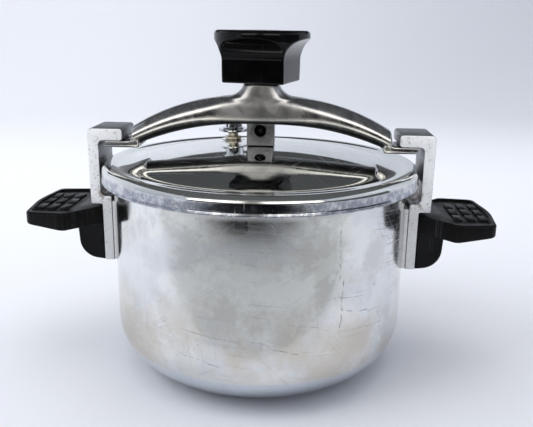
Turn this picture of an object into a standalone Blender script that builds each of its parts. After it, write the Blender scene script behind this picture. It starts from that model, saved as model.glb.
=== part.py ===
"""Screw-clamp pressure canner: an aluminium pot whose lid is held down by a cast yoke.

The yoke's two tongues hook under brackets riveted to the pot, and a knob on a clamp screw
pulls the yoke up against them. Units are metres, +Z up, with the origin under the centre of
the base and +X towards the right-hand handle.
"""
import math

import bmesh
import bpy
from mathutils import Vector

# ---------------------------------------------------------------- driving sizes
GAP = 0.0003                 # clearance between pieces that touch
EDGE = 0.0006                # edge broken on most turned and cast pieces
WIDE_EDGE = 0.0008           # edge broken on larger pieces
CUT_OVER = 0.01              # how far a cutter runs past what it cuts

POT_R = 0.110                # outside radius of the pot's wall
POT_WALL = 0.0025
POT_FLOOR = 0.004
POT_CORNER_R = 0.050         # radial reach of the rounded bottom corner
POT_CORNER_H = 0.042         # height of the rounded bottom corner
POT_H = 0.1505               # height of the pot's rim
FLANGE_REACH = 0.0045        # how far the rim stands out beyond the wall
FLANGE_T = 0.003
FLANGE_FILLET = 0.0015       # rim's underside into the wall, outward
FLANGE_FADE = 0.002          # rim's underside into the wall, downward

LID_T = 0.002
LID_REACH = 0.008            # how far the lid's skirt stands out beyond the pot's wall
SKIRT_DROP = 0.0047          # how far the skirt hangs below the pot's rim
RIM_ROUND = 0.005            # radius of the lid's rolled edge
RIM_RISE = 0.008             # height of the rolled edge above the pot's rim
DOME_REACH = 0.024           # the dome ends this far inside the skirt
DOME_RISE = 0.0115           # height of the lid's centre above the rolled edge
TROUGH_DEPTH = 0.0008        # how far the trough dips below the rolled edge
DOME_EDGE_RISE = 0.0020      # edge of the dome above the rolled edge
TROUGH_BANK = 0.0045         # the trough's inner bank begins this far inside its bottom
TROUGH_BANK_RISE = 0.0009
BEAD = 0.0005                # bead round the skirt's lower edge
BEAD_LOW = 0.0004
BEAD_TOP = 0.0015
BEAD_END = 0.0020
SEAT_RISE = 0.0008           # valve seats above the dome
GASKET_IN = 0.0008           # gasket outside the pot's inner wall
GASKET_OUT = 0.0007          # gasket inside the rim's outer edge

BRACKET_W = 0.036            # width of each bracket along Y
BRACKET_T = 0.0080           # thickness of the bracket's post
FOOT_T = 0.0073              # thickness of the bracket's foot
FOOT_H = 0.051               # height of the foot from its lower end to the inner ledge
POST_SIDE_GAP = 0.0015       # from the lid's skirt to the bracket's post
PAD_T = 0.0015               # pad between the pot's wall and the foot, at its middle
HOOK_T = 0.009
HOOK_REACH = 0.018           # how far the hook reaches in from the post
HOOK_RISE = 0.0225           # underside of the hook above the pot's rim
LEDGE_DROP = 0.0195          # top of the inner ledge below the pot's rim
STEP_DROP = 0.0065           # underside of the outer step below the inner ledge
STEP_EDGE_R = 0.0010         # corner radii of the bracket's section
POST_EDGE_R = 0.0012
HOOK_BACK_R = 0.0035
HOOK_TIP_R = 0.0022
HOOK_ROOT_R = 0.0030
LEDGE_ROOT_R = 0.0040
LEDGE_EDGE_R = 0.0015
PAD_INSET = 0.0005           # packing piece inside the foot's outline
PAD_DROP = 0.004             # packing piece below the ledge
PAD_BACK = 0.006             # packing piece's blank behind the pot's wall, before it is cut round

RIVET_R = 0.0025
RIVET_HEAD_R = 0.0042
RIVET_HEAD_T = 0.0018
RIVET_SPREAD = 0.010         # the upper two rivets, each side of the middle
RIVET_UPPER = 0.034          # height of the upper rivets above the foot's lower end
RIVET_LOWER = 0.0065
RIVET_SINK = 0.002
HANDLE_SCREW_H = 0.0175      # height of the handle's screw above the foot's lower end
HANDLE_SCREW_R = 0.0025
HANDLE_SCREW_HEAD_R = 0.0042
HANDLE_SCREW_HEAD_T = 0.003
HANDLE_SCREW_SEAT = 0.009    # handle left between the foot and the screw's head
SCREW_SLOT_DEPTH = 0.0012
SCREW_SLOT_HALF_W = 0.0005

HANDLE_LENGTH = 0.0567       # from the foot to the grip's outer end
HANDLE_W = 0.082             # widest part of the grip along Y
GRIP_T_TIP = 0.0085
GRIP_T_ROOT = 0.0135
GRIP_DROP = 0.0025           # top of the grip below the bracket's outer step
GRIP_NECK = (0.005, 0.0022, 0.004)    # along, out and radius where the grip leaves the bracket
GRIP_WIDE_X = 0.0245         # widest part of the grip, out from the foot
GRIP_WIDE_R = 0.007
GRIP_END = (0.0048, 0.0032, 0.006)    # back, in and radius of the grip's outer corners
GRIP_NOSE_R = 0.09           # bow of the grip's outer end
GRIP_SLOPE_X = 0.022         # underside begins to rise, out from the foot
LOBE_REACH = 0.0202          # how far the lobe under the grip stands out from the foot
LOBE_ROUND = 0.015
LOBE_LEAN = 0.002            # lobe's lower corner in and up from its box
PANEL_START = 0.018          # the recessed panel begins this far out from the foot
PANEL_RIM = 0.0032
PANEL_DEPTH = 0.0014
PANEL_NARROW = 0.006         # panel's inner end inside its widest part
PANEL_CORNER_R = 0.0015
PANEL_WIDE_R = 0.004
PAD_ROWS = 3
PAD_COLUMNS = 3
PAD_FIRST = 0.0075           # first row of raised pads from the panel's inner end
PAD_PITCH = (0.0092, 0.0165)
PAD_LENGTH = 0.0052
PAD_HALF_W = 0.0066
GRIP_PAD_H = 0.0010

YOKE_W = 0.028               # width of the yoke's arms along Y
YOKE_T_MID = 0.0207          # depth of the yoke at its middle
YOKE_MID_RISE = 0.0356       # underside of the yoke's middle above the pot's rim
TONGUE_T = 0.0054
TONGUE_PLAY = 0.0004         # tongue to the hook's underside, clamped
TONGUE_END_GAP = 0.003       # tongue's end to the bracket's post
SHOULDER_GAP = 0.0049        # yoke's shoulder to the hook's tip
SHOULDER_H = 0.0153          # height of the shoulder above the tongue's underside
TONGUE_SIDE = 0.001          # tongue narrower than the arm, each side
TONGUE_ROOT = 0.006          # tongue's start inside the shoulder
ARM_SQUARE = 2.15            # squareness of the arms' section, 2 being an ellipse
MID_SQUARE = 2.6             # added to it over the guide post
MID_REACH = 0.030            # how far out the middle's squareness fades
ARCH_TOP_POWER = 2.44        # how the arms' two edges fall away from the middle
ARCH_LOW_POWER = 2.245
NECK_R = 0.013
NECK_H = 0.0085              # neck above the yoke's middle
NECK_SINK = 0.0012           # neck's flare ends this far inside the arms
NECK_SQUARE = 3.6
NECK_WEB = 0.006             # how far the neck's foot spreads inside the arms
NECK_SIDE = 0.0002           # neck inside the arms' front and back
FLARE_R = 0.014              # radius of the flare from the neck into the arms

SCREW_R = 0.006
SCREW_PITCH = 0.003
SLACK_TURNS = 2              # turns of the knob from clamped to slack
BUSH_R = 0.0088
THREAD_CLEAR = 0.0003

POST_W = 0.020               # square guide post on the lid
POST_H = 0.0212
POST_HOLE_R = 0.0045         # round window in the post's front face
POST_HOLE_H = 0.0113
POST_HOLE_DEPTH = 0.0024
SOCKET_DEPTH = 0.0146        # bore for the clamp screw's lower end
GROOVE_H = 0.0044
GROOVE_DEPTH = 0.0017
GROOVE_RISE = 0.0022         # groove above the screw's foot
GROOVE_SHOULDER = 0.0004
PIN_HOLE_START = 0.003       # pin hole begins this far inside the screw's surface
PIN_SHOW = 0.0004            # pin's end above the floor of its window
PIN_R = 0.0019
BOLT_R = 0.003
BOLT_REACH = 0.0050
BOLT_HEAD_AF = 0.010
BOLT_HEAD_T = 0.004
WASHER_R = 0.010
WASHER_T = 0.0015
WASHER_SAG = 0.0002          # extra room under the curved dome

KNOB_R = 0.035
KNOB_R_LOW = 0.0325
KNOB_H = 0.0370
KNOB_RIM_H = 0.0055          # plain band at the knob's top
KNOB_FLAT = 0.023            # from the axis to each flat of the lower part
KNOB_SCOOP_H = 0.0155        # height where the flats begin to flare
KNOB_TURN = math.radians(-14)
KNOB_CLEAR = 0.0013          # neck's top to the knob's underside
KNOB_CROWN = ((0.0035, 0.0008), (0.001, 0.0018), (0.0, 0.0032))    # in and down round the top
KNOB_BAND = 0.002            # plain band's end below the scoops' top
SCOOP_OUT = 0.0005           # the scoops leave the knob this far outside it
INSERT_R = 0.009
INSERT_FLOOR = 0.0035
INSERT_FIT = 0.0005          # taken off the insert so that the knob's wall keeps its thickness
CAP_R = 0.012
CAP_T = 0.0022
CAP_WELL = 0.0085
FIX_SCREW_R = 0.0025
FIX_HEAD_R = 0.0048
FIX_HEAD_T = 0.0026
FIX_REACH = 0.012
FIX_SLOT_HALF_W = 0.0006
CAP_SINK = 0.0006            # cap below the knob's top

VALVE_POS = (-0.024, 0.028)
VALVE_STEM_R = 0.0041
VALVE_SEAT_R = 0.0095        # raised seat in the lid under each valve
VALVE_SEAT_T = 0.0037
VALVE_COLLAR_AF = 0.0115
VALVE_COLLAR_T = 0.0022
VALVE_STEM_H = 0.0115        # stem above its collar
VALVE_BORE_R = 0.0014
VALVE_NUT_AF = 0.0135
VALVE_NUT_T = 0.0035
SEAL_T = 0.001
WEIGHT_R = 0.0095
WEIGHT_FLANGE_R = 0.012
WEIGHT_FLANGE_T = 0.0020
WEIGHT_H = 0.0225
WEIGHT_RISE = 0.0038         # weight's flange above the stem's collar
WEIGHT_WAIST = (0.002, 0.0065, 0.008)    # depth of the waist, and where it starts below the top
WEIGHT_CROWN = (0.003, 0.002)            # chamfer round the weight's top
WEIGHT_BORE = (0.0006, 0.003, 0.0028)    # clearance, length and end radius of its tapered bore
STEM_TIP_R = 0.0022
STEM_TIP_H = 0.004
STEM_TAIL = 0.003            # stem below its nut

SAFETY_POS = (-0.001, 0.032)
SAFETY_R = 0.0049
SAFETY_AF = 0.0135
SAFETY_BASE_T = 0.0040
SAFETY_H = 0.0090
SAFETY_CAVITY_R = 0.0038
SAFETY_FLOOR = 0.0018
SAFETY_INLET_R = 0.0017
SAFETY_TAIL = 0.002          # body below its nut
SAFETY_CAP_R = 0.0062
SAFETY_CAP_T = 0.0020
SAFETY_CAP_SKIRT = 0.0035
PLUNGER_R = 0.0018
PLUNGER_DISC_T = 0.0012
PLUNGER_PLAY = 0.0004        # round the plunger in its cap
DISC_PLAY = 0.0005           # round its disc in the body
PLUNGER_SHOW = 0.0035        # plunger's tip above its cap
SPRING_WIRE_R = 0.00042
SPRING_TURNS = 5

# ---------------------------------------------------------------- sizes that follow
HALF_BRACKET = BRACKET_W / 2
LID_R = POT_R + LID_REACH
FLANGE_R = POT_R + FLANGE_REACH
SKIRT_Z = POT_H - SKIRT_DROP
RIM_TOP_Z = POT_H + RIM_RISE
DOME_R = LID_R - DOME_REACH
DOME_TOP_Z = RIM_TOP_Z + DOME_RISE
DOME_FALL = DOME_RISE - DOME_EDGE_RISE
DOME_SPHERE = (DOME_R ** 2 + DOME_FALL ** 2) / (2 * DOME_FALL)

POST_IN_X = LID_R + POST_SIDE_GAP
POST_OUT_X = POST_IN_X + BRACKET_T
FOOT_IN_X = POT_R + PAD_T
FOOT_OUT_X = FOOT_IN_X + FOOT_T
LEDGE_Z = POT_H - LEDGE_DROP
STEP_Z = LEDGE_Z - STEP_DROP
FOOT_LOW_Z = LEDGE_Z - FOOT_H
HOOK_LOW_Z = POT_H + HOOK_RISE
HOOK_TOP_Z = HOOK_LOW_Z + HOOK_T
HOOK_TIP_X = POST_IN_X - HOOK_REACH

HANDLE_IN_X = FOOT_OUT_X + GAP
GRIP_TOP_Z = STEP_Z - GRIP_DROP
HANDLE_SCREW_Z = FOOT_LOW_Z + HANDLE_SCREW_H

TONGUE_TOP_Z = HOOK_LOW_Z - TONGUE_PLAY
TONGUE_LOW_Z = TONGUE_TOP_Z - TONGUE_T
TONGUE_R = POST_IN_X - TONGUE_END_GAP
SHOULDER_X = HOOK_TIP_X - SHOULDER_GAP
YOKE_LOW_Z = POT_H + YOKE_MID_RISE
YOKE_TOP_Z = YOKE_LOW_Z + YOKE_T_MID
SHOULDER_TOP_Z = TONGUE_LOW_Z + SHOULDER_H
NECK_TOP_Z = YOKE_TOP_Z + NECK_H

POST_LOW_Z = DOME_TOP_Z + GAP
POST_TOP_Z = POST_LOW_Z + POST_H
SOCKET_Z = POST_TOP_Z - SOCKET_DEPTH
SCREW_LOW_Z = SOCKET_Z + GAP
GROOVE_LOW_Z = SCREW_LOW_Z + GROOVE_RISE
LIFT_TRAVEL = SLACK_TURNS * SCREW_PITCH
POST_HOLE_Z = POST_LOW_Z + POST_HOLE_H
POCKET_TOP_Z = POST_TOP_Z + LIFT_TRAVEL + GAP
POCKET_W = POST_W + 2 * GAP

KNOB_LOW_Z = NECK_TOP_Z + KNOB_CLEAR
KNOB_TOP_Z = KNOB_LOW_Z + KNOB_H
CAP_WELL_Z = KNOB_TOP_Z - CAP_WELL
INSERT_TOP_Z = CAP_WELL_Z - INSERT_FLOOR
SCREW_TOP_Z = INSERT_TOP_Z - GAP

BIG_STEPS = 48
MID_STEPS = 32
SMALL_STEPS = 20

ALUMINIUM = ("polished_aluminium", (0.80, 0.80, 0.81), 0.28, 1.0)
CAST = ("cast_aluminium", (0.62, 0.60, 0.57), 0.42, 1.0)
EXTRUDED = ("mill_aluminium", (0.72, 0.72, 0.73), 0.50, 1.0)
BAKELITE = ("black_bakelite", (0.012, 0.012, 0.014), 0.25, 0.0)
STEEL = ("dark_steel", (0.16, 0.16, 0.17), 0.45, 1.0)
CHROME = ("chrome_plate", (0.80, 0.81, 0.83), 0.10, 1.0)
BRASS = ("brass", (0.66, 0.52, 0.30), 0.30, 1.0)
RUBBER = ("black_rubber", (0.020, 0.020, 0.021), 0.75, 0.0)


# ---------------------------------------------------------------- scene and helpers
def start_scene():
    """Empty the scene and make one collection for the parts and one for the cutters."""
    for obj in list(bpy.data.objects):
        bpy.data.objects.remove(obj, do_unlink=True)
    for name in ("pressure_canner", "cutters"):
        collection = bpy.data.collections.new(name)
        bpy.context.scene.collection.children.link(collection)


def material(spec):
    """Return the named Principled material, made on first use."""
    name, colour, roughness, metallic = spec
    found = bpy.data.materials.get(name)
    if found:
        return found
    made = bpy.data.materials.new(name)
    made.use_nodes = True
    shader = made.node_tree.nodes["Principled BSDF"]
    shader.inputs["Base Color"].default_value = (*colour, 1.0)
    shader.inputs["Roughness"].default_value = roughness
    shader.inputs["Metallic"].default_value = metallic
    return made


def place(obj, finish, turn=0.0):
    """Put a piece in its collection, with its finish; a piece with no finish is a cutter."""
    for collection in list(obj.users_collection):
        collection.objects.unlink(obj)
    obj.rotation_euler[2] += turn
    if finish is None:
        bpy.data.collections["cutters"].objects.link(obj)
        obj.hide_render = True
        obj.display_type = "WIRE"
        return obj
    bpy.data.collections["pressure_canner"].objects.link(obj)
    obj.data.materials.clear()
    obj.data.materials.append(material(finish))
    return obj


def smooth(obj, angle=35):
    """Shade a mesh smooth except across edges sharper than the angle in degrees."""
    obj.data.shade_smooth()
    obj.data.set_sharp_from_angle(angle=math.radians(angle))


def turned(name, profile, finish, centre=(0.0, 0.0, 0.0), steps=MID_STEPS, ring=False, turn=0.0):
    """Spin a profile of (radius, height) points about a vertical axis through the centre."""
    mesh = bpy.data.meshes.new(name)
    points = [(radius, 0.0, height) for radius, height in profile]
    edges = [(i, i + 1) for i in range(len(points) - 1)]
    if ring:
        edges.append((len(points) - 1, 0))
    mesh.from_pydata(points, edges, [])
    obj = bpy.data.objects.new(name, mesh)
    bpy.context.scene.collection.objects.link(obj)
    obj.location = centre
    spin = obj.modifiers.new("Spin", "SCREW")
    spin.axis = "Z"
    spin.angle = math.tau
    spin.steps = steps
    spin.render_steps = steps
    spin.use_merge_vertices = True
    spin.merge_threshold = 0.00001
    spin.use_smooth_shade = True
    return place(obj, finish, turn)


def along_x(name, profile, finish, centre, turn, steps=SMALL_STEPS):
    """Spin a profile of (radius, distance) points about an axis that runs along +X."""
    obj = turned(name, profile, finish, (0.0, 0.0, 0.0), steps)
    obj.rotation_euler = (0.0, math.pi / 2, turn)
    x, y, z = centre
    obj.location = (x * math.cos(turn) - y * math.sin(turn), x * math.sin(turn) + y * math.cos(turn), z)
    return obj


def rod_profile(radius, low, high):
    """Profile of a plain cylinder, from its top centre down to its lower centre."""
    return [(0.0, high), (radius, high), (radius, low), (0.0, low)]


def box(name, low, high, finish, turn=0.0, bevel=0.0):
    """A block between two corners."""
    bpy.ops.mesh.primitive_cube_add(size=1.0)
    obj = bpy.context.object
    obj.name = name
    obj.data.name = name
    size = [high[i] - low[i] for i in range(3)]
    middle = Vector([(high[i] + low[i]) / 2 for i in range(3)])
    for vertex in obj.data.vertices:
        vertex.co = Vector([vertex.co[i] * size[i] for i in range(3)]) + middle
    if bevel:
        round_edges(obj, bevel)
    return place(obj, finish, turn)


def hexagon(name, across_flats, low, high, finish, centre, bore=0.0):
    """A hexagonal block on a vertical axis, with an optional round bore."""
    bpy.ops.mesh.primitive_cylinder_add(vertices=6, radius=across_flats / math.sqrt(3), depth=high - low)
    obj = bpy.context.object
    obj.name = name
    obj.data.name = name
    obj.location = (centre[0], centre[1], (low + high) / 2)
    place(obj, finish)
    if bore:
        hole = turned(name + "_bore", rod_profile(bore, low - CUT_OVER, high + CUT_OVER), None,
                      (centre[0], centre[1], 0.0), SMALL_STEPS)
        subtract(obj, hole)
    return obj


def rounded(corners, steps=3):
    """Turn (a, b, radius) corners into an outline whose corners are arcs."""
    outline = []
    for i, (a, b, radius) in enumerate(corners):
        here = Vector((a, b))
        if radius <= 0.0:
            outline.append((a, b))
            continue
        before = Vector(corners[i - 1][:2]) - here
        after = Vector(corners[(i + 1) % len(corners)][:2]) - here
        half = before.angle(after) / 2
        reach = radius / math.tan(half)
        middle = here + (before.normalized() + after.normalized()).normalized() * (radius / math.sin(half))
        start = here + before.normalized() * reach - middle
        sweep = start.angle_signed(here + after.normalized() * reach - middle)
        for k in range(steps + 1):
            angle = -sweep * k / steps
            turned_start = Vector((start.x * math.cos(angle) - start.y * math.sin(angle),
                                   start.x * math.sin(angle) + start.y * math.cos(angle)))
            outline.append(tuple(middle + turned_start))
    return outline


def flat_outline(name, outline, half, finish, plane="XZ", level=0.0, turn=0.0):
    """A filled outline with thickness: in XZ it runs along Y, in XY it runs along Z."""
    curve = bpy.data.curves.new(name, "CURVE")
    curve.dimensions = "2D"
    curve.fill_mode = "BOTH"
    curve.extrude = half
    spline = curve.splines.new("POLY")
    spline.points.add(len(outline) - 1)
    for point, (a, b) in zip(spline.points, outline):
        point.co = (a, b, 0.0, 1.0)
    spline.use_cyclic_u = True
    shape = bpy.data.objects.new(name + "_outline", curve)
    bpy.context.scene.collection.objects.link(shape)
    if plane == "XZ":
        shape.rotation_euler = (math.pi / 2, 0.0, 0.0)
        shape.location = (0.0, level, 0.0)
    else:
        shape.location = (0.0, 0.0, level)
    bpy.context.view_layer.update()
    graph = bpy.context.evaluated_depsgraph_get()
    mesh = bpy.data.meshes.new_from_object(shape.evaluated_get(graph))
    mesh.name = name
    work = bmesh.new()
    work.from_mesh(mesh)
    bmesh.ops.transform(work, matrix=shape.matrix_world, verts=work.verts)
    bmesh.ops.remove_doubles(work, verts=work.verts, dist=0.000001)
    bmesh.ops.recalc_face_normals(work, faces=work.faces)
    work.to_mesh(mesh)
    work.free()
    obj = bpy.data.objects.new(name, mesh)
    bpy.context.scene.collection.objects.link(obj)
    bpy.data.objects.remove(shape, do_unlink=True)
    return place(obj, finish, turn)


def loft(name, rings, finish):
    """Skin a stack of equal-count point rings and close both ends."""
    work = bmesh.new()
    rows = [[work.verts.new(point) for point in ring] for ring in rings]
    count = len(rings[0])
    for lower, upper in zip(rows, rows[1:]):
        for k in range(count):
            n = (k + 1) % count
            work.faces.new((lower[k], lower[n], upper[n], upper[k]))
    work.faces.new(rows[0])
    work.faces.new(rows[-1])
    bmesh.ops.recalc_face_normals(work, faces=work.faces)
    mesh = bpy.data.meshes.new(name)
    work.to_mesh(mesh)
    work.free()
    obj = bpy.data.objects.new(name, mesh)
    bpy.context.scene.collection.objects.link(obj)
    return place(obj, finish)


def combine(obj, tool, operation, label):
    """Add one Boolean modifier."""
    step = obj.modifiers.new(label, "BOOLEAN")
    step.operation = operation
    step.object = tool
    step.solver = "EXACT"
    return obj


def subtract(obj, tool):
    """Cut the tool's shape out of a piece."""
    return combine(obj, tool, "DIFFERENCE", "Cut " + tool.name)


def unite(obj, tool):
    """Join the tool's shape to a piece."""
    return combine(obj, tool, "UNION", "Join " + tool.name)


def round_edges(obj, width, segments=1, angle=40):
    """Bevel the edges that are sharper than the angle in degrees."""
    bevel = obj.modifiers.new("Edges", "BEVEL")
    bevel.width = width
    bevel.segments = segments
    bevel.limit_method = "ANGLE"
    bevel.angle_limit = math.radians(angle)
    return obj


def arc(centre, radii, start, end, steps):
    """Points along an ellipse's arc, with angles in degrees from +r towards +z."""
    points = []
    for k in range(steps + 1):
        angle = math.radians(start + (end - start) * k / steps)
        points.append((centre[0] + radii[0] * math.cos(angle), centre[1] + radii[1] * math.sin(angle)))
    return points


def hole(name, radius, low, high, centre=(0.0, 0.0)):
    """A round cutter on a vertical axis."""
    return turned(name, rod_profile(radius, low, high), None, (centre[0], centre[1], 0.0), SMALL_STEPS)


# ---------------------------------------------------------------- pot
def rivet_spots():
    """(y, z) of each rivet in a bracket's foot."""
    return (("front", -RIVET_SPREAD, FOOT_LOW_Z + RIVET_UPPER),
            ("rear", RIVET_SPREAD, FOOT_LOW_Z + RIVET_UPPER),
            ("lower", 0.0, FOOT_LOW_Z + RIVET_LOWER))


def pot_body():
    """Spun pot with a rounded bottom corner and an outward rim."""
    inside_r = POT_R - POT_WALL
    corner = (POT_R - POT_CORNER_R, POT_CORNER_H)
    profile = [(0.0, POT_FLOOR)]
    profile += arc(corner, (POT_CORNER_R - POT_WALL, POT_CORNER_H - POT_FLOOR), -90, 0, 6)
    profile += [(inside_r, POT_H - EDGE), (inside_r + EDGE, POT_H)]
    profile += [(FLANGE_R - WIDE_EDGE, POT_H), (FLANGE_R, POT_H - WIDE_EDGE)]
    profile += [(FLANGE_R, POT_H - FLANGE_T), (POT_R + FLANGE_FILLET, POT_H - FLANGE_T)]
    profile += [(POT_R, POT_H - FLANGE_T - FLANGE_FADE)]
    profile += arc(corner, (POT_CORNER_R, POT_CORNER_H), 0, -90, 7)
    profile += [(0.0, 0.0)]
    pot = turned("pot_body", profile, ALUMINIUM, steps=BIG_STEPS)
    for side, turn in (("right", 0.0), ("left", math.pi)):
        for spot, y, z in rivet_spots():
            clear = rod_profile(RIVET_R + GAP, -2 * CUT_OVER, 2 * CUT_OVER)
            subtract(pot, along_x(f"{side}_{spot}_wall_hole", clear, None, (POT_R, y, z), turn, 12))
    return pot


def bracket(side, turn):
    """Extruded S-shaped bracket: a foot on the pot, a post, and a hook over the tongue."""
    corners = [(FOOT_IN_X, FOOT_LOW_Z, WIDE_EDGE), (FOOT_OUT_X, FOOT_LOW_Z, WIDE_EDGE),
               (FOOT_OUT_X, STEP_Z, STEP_EDGE_R), (POST_OUT_X, STEP_Z, POST_EDGE_R),
               (POST_OUT_X, HOOK_TOP_Z, HOOK_BACK_R), (HOOK_TIP_X, HOOK_TOP_Z, HOOK_TIP_R),
               (HOOK_TIP_X, HOOK_LOW_Z, HOOK_TIP_R), (POST_IN_X, HOOK_LOW_Z, HOOK_ROOT_R),
               (POST_IN_X, LEDGE_Z, LEDGE_ROOT_R), (FOOT_IN_X, LEDGE_Z, LEDGE_EDGE_R)]
    piece = flat_outline(f"{side}_bracket", rounded(corners), HALF_BRACKET, EXTRUDED, turn=turn)
    round_edges(piece, EDGE)
    for spot, y, z in rivet_spots():
        sink = rivet_profile(FOOT_IN_X - CUT_OVER, GAP, RIVET_SINK)
        subtract(piece, along_x(f"{side}_{spot}_foot_hole", sink, None, (0.0, y, z), turn, 16))
    thread = rod_profile(HANDLE_SCREW_R + GAP, -2 * CUT_OVER, 2 * CUT_OVER)
    place_at = (FOOT_OUT_X, 0.0, HANDLE_SCREW_Z)
    subtract(piece, along_x(f"{side}_thread", thread, None, place_at, turn, 16))
    return piece


def bracket_pad(side, turn):
    """Packing piece between the flat foot and the pot's round wall."""
    half = HALF_BRACKET - PAD_INSET
    low = (POT_R - PAD_BACK, -half, FOOT_LOW_Z + PAD_INSET)
    high = (FOOT_IN_X - GAP, half, LEDGE_Z - PAD_DROP)
    pad = box(f"{side}_bracket_pad", low, high, EXTRUDED, turn)
    wall = rod_profile(POT_R + GAP, low[2] - CUT_OVER, high[2] + CUT_OVER)
    wall = turned(f"{side}_pad_wall", wall, None, steps=BIG_STEPS)
    subtract(pad, wall)
    for spot, y, z in rivet_spots():
        clear = rod_profile(RIVET_R + GAP, -2 * CUT_OVER, 2 * CUT_OVER)
        subtract(pad, along_x(f"{side}_{spot}_pad_hole", clear, None, (FOOT_IN_X, y, z), turn, 12))
    return pad


def rivet_profile(inner_x, swell=0.0, past=0.0):
    """Shank and countersunk outer end of a rivet, along +X."""
    sink_x = FOOT_OUT_X - RIVET_HEAD_T
    face_x = FOOT_OUT_X - GAP
    profile = [(0.0, face_x + past), (RIVET_HEAD_R + swell, face_x + past)]
    if past:
        profile.append((RIVET_HEAD_R + swell, face_x))
    return profile + [(RIVET_R + swell, sink_x), (RIVET_R + swell, inner_x), (0.0, inner_x)]


def rivets(side, turn):
    """Countersunk rivets with a domed head inside the pot."""
    inside_r = POT_R - POT_WALL
    for spot, y, z in rivet_spots():
        seat_x = math.sqrt(inside_r ** 2 - (abs(y) + RIVET_HEAD_R) ** 2) - GAP
        shank = rivet_profile(seat_x)[:-1]
        dome = [(RIVET_HEAD_R, seat_x), (RIVET_HEAD_R, seat_x - EDGE),
                (RIVET_HEAD_R * 0.6, seat_x - RIVET_HEAD_T), (0.0, seat_x - RIVET_HEAD_T)]
        along_x(f"{side}_{spot}_rivet", shank + dome, ALUMINIUM, (0.0, y, z), turn, 14)


# ---------------------------------------------------------------- side handles
def grip_outline(inset=0.0, start=0.0):
    """Plan outline of a grip: narrow at the bracket, wide across the middle, round outside."""
    root = HANDLE_IN_X + start
    end = HANDLE_IN_X + HANDLE_LENGTH - inset
    wide_x = HANDLE_IN_X + GRIP_WIDE_X
    half = HANDLE_W / 2 - inset
    if start:
        near = [(root, half - PANEL_NARROW, PANEL_CORNER_R), (wide_x, half, PANEL_WIDE_R)]
    else:
        neck_x, neck_y, neck_r = GRIP_NECK
        near = [(root, HALF_BRACKET, 0.0), (root + neck_x, HALF_BRACKET + neck_y, neck_r),
                (wide_x, half, GRIP_WIDE_R)]
    back, narrow, corner_r = GRIP_END
    far = [(end - back, half - narrow, corner_r), (end, 0.0, GRIP_NOSE_R)]
    upper = near + far
    lower = [(x, -y, radius) for x, y, radius in reversed(upper[:-1])]
    return rounded(upper + lower, 4)


def handle(side, turn):
    """Moulded side handle: a flat grip with a recessed panel, and a lobe against the foot."""
    low_z = GRIP_TOP_Z - GRIP_T_ROOT
    grip = flat_outline(f"{side}_handle", grip_outline(), GRIP_T_ROOT / 2, BAKELITE, "XY",
                        GRIP_TOP_Z - GRIP_T_ROOT / 2, turn)
    end_x = HANDLE_IN_X + HANDLE_LENGTH
    slope_x = HANDLE_IN_X + GRIP_SLOPE_X
    past = 1 + CUT_OVER / (HANDLE_LENGTH - GRIP_SLOPE_X)
    wedge = [(slope_x, low_z - CUT_OVER), (end_x + CUT_OVER, low_z - CUT_OVER),
             (end_x + CUT_OVER, low_z + (GRIP_T_ROOT - GRIP_T_TIP) * past), (slope_x, low_z)]
    subtract(grip, flat_outline(f"{side}_grip_slope", wedge, HANDLE_W, None, turn=turn))
    lobe_top = GRIP_TOP_Z - GRIP_T_ROOT / 2
    lobe_low = FOOT_LOW_Z + PAD_INSET
    lobe = [(HANDLE_IN_X, lobe_top, 0.0), (HANDLE_IN_X, lobe_low, 0.0),
            (HANDLE_IN_X + LOBE_REACH - LOBE_LEAN, lobe_low + LOBE_LEAN, LOBE_ROUND),
            (HANDLE_IN_X + LOBE_REACH, lobe_top, 0.0)]
    block = flat_outline(f"{side}_lobe", rounded(lobe, 6), HALF_BRACKET, None, turn=turn)
    unite(grip, block)
    panel = flat_outline(f"{side}_panel", grip_outline(PANEL_RIM, PANEL_START), PANEL_DEPTH, None, "XY",
                         GRIP_TOP_Z, turn)
    for row in range(PAD_ROWS):
        for column in range(PAD_COLUMNS):
            x = HANDLE_IN_X + PANEL_START + PAD_FIRST + PAD_PITCH[0] * row
            y = (column - (PAD_COLUMNS - 1) / 2) * PAD_PITCH[1]
            low = (x, y - PAD_HALF_W, GRIP_TOP_Z - CUT_OVER)
            high = (x + PAD_LENGTH, y + PAD_HALF_W, GRIP_TOP_Z - PANEL_DEPTH + GRIP_PAD_H)
            rib = box(f"{side}_rib_{row}_{column}", low, high, None, turn)
            subtract(panel, rib)
    subtract(grip, panel)
    seat_x = HANDLE_IN_X + HANDLE_SCREW_SEAT
    bore = [(0.0, end_x), (HANDLE_SCREW_HEAD_R + GAP, end_x), (HANDLE_SCREW_HEAD_R + GAP, seat_x),
            (HANDLE_SCREW_R + GAP, seat_x), (HANDLE_SCREW_R + GAP, HANDLE_IN_X - CUT_OVER),
            (0.0, HANDLE_IN_X - CUT_OVER)]
    subtract(grip, along_x(f"{side}_handle_bore", bore, None, (0.0, 0.0, HANDLE_SCREW_Z), turn))
    return grip


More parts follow.
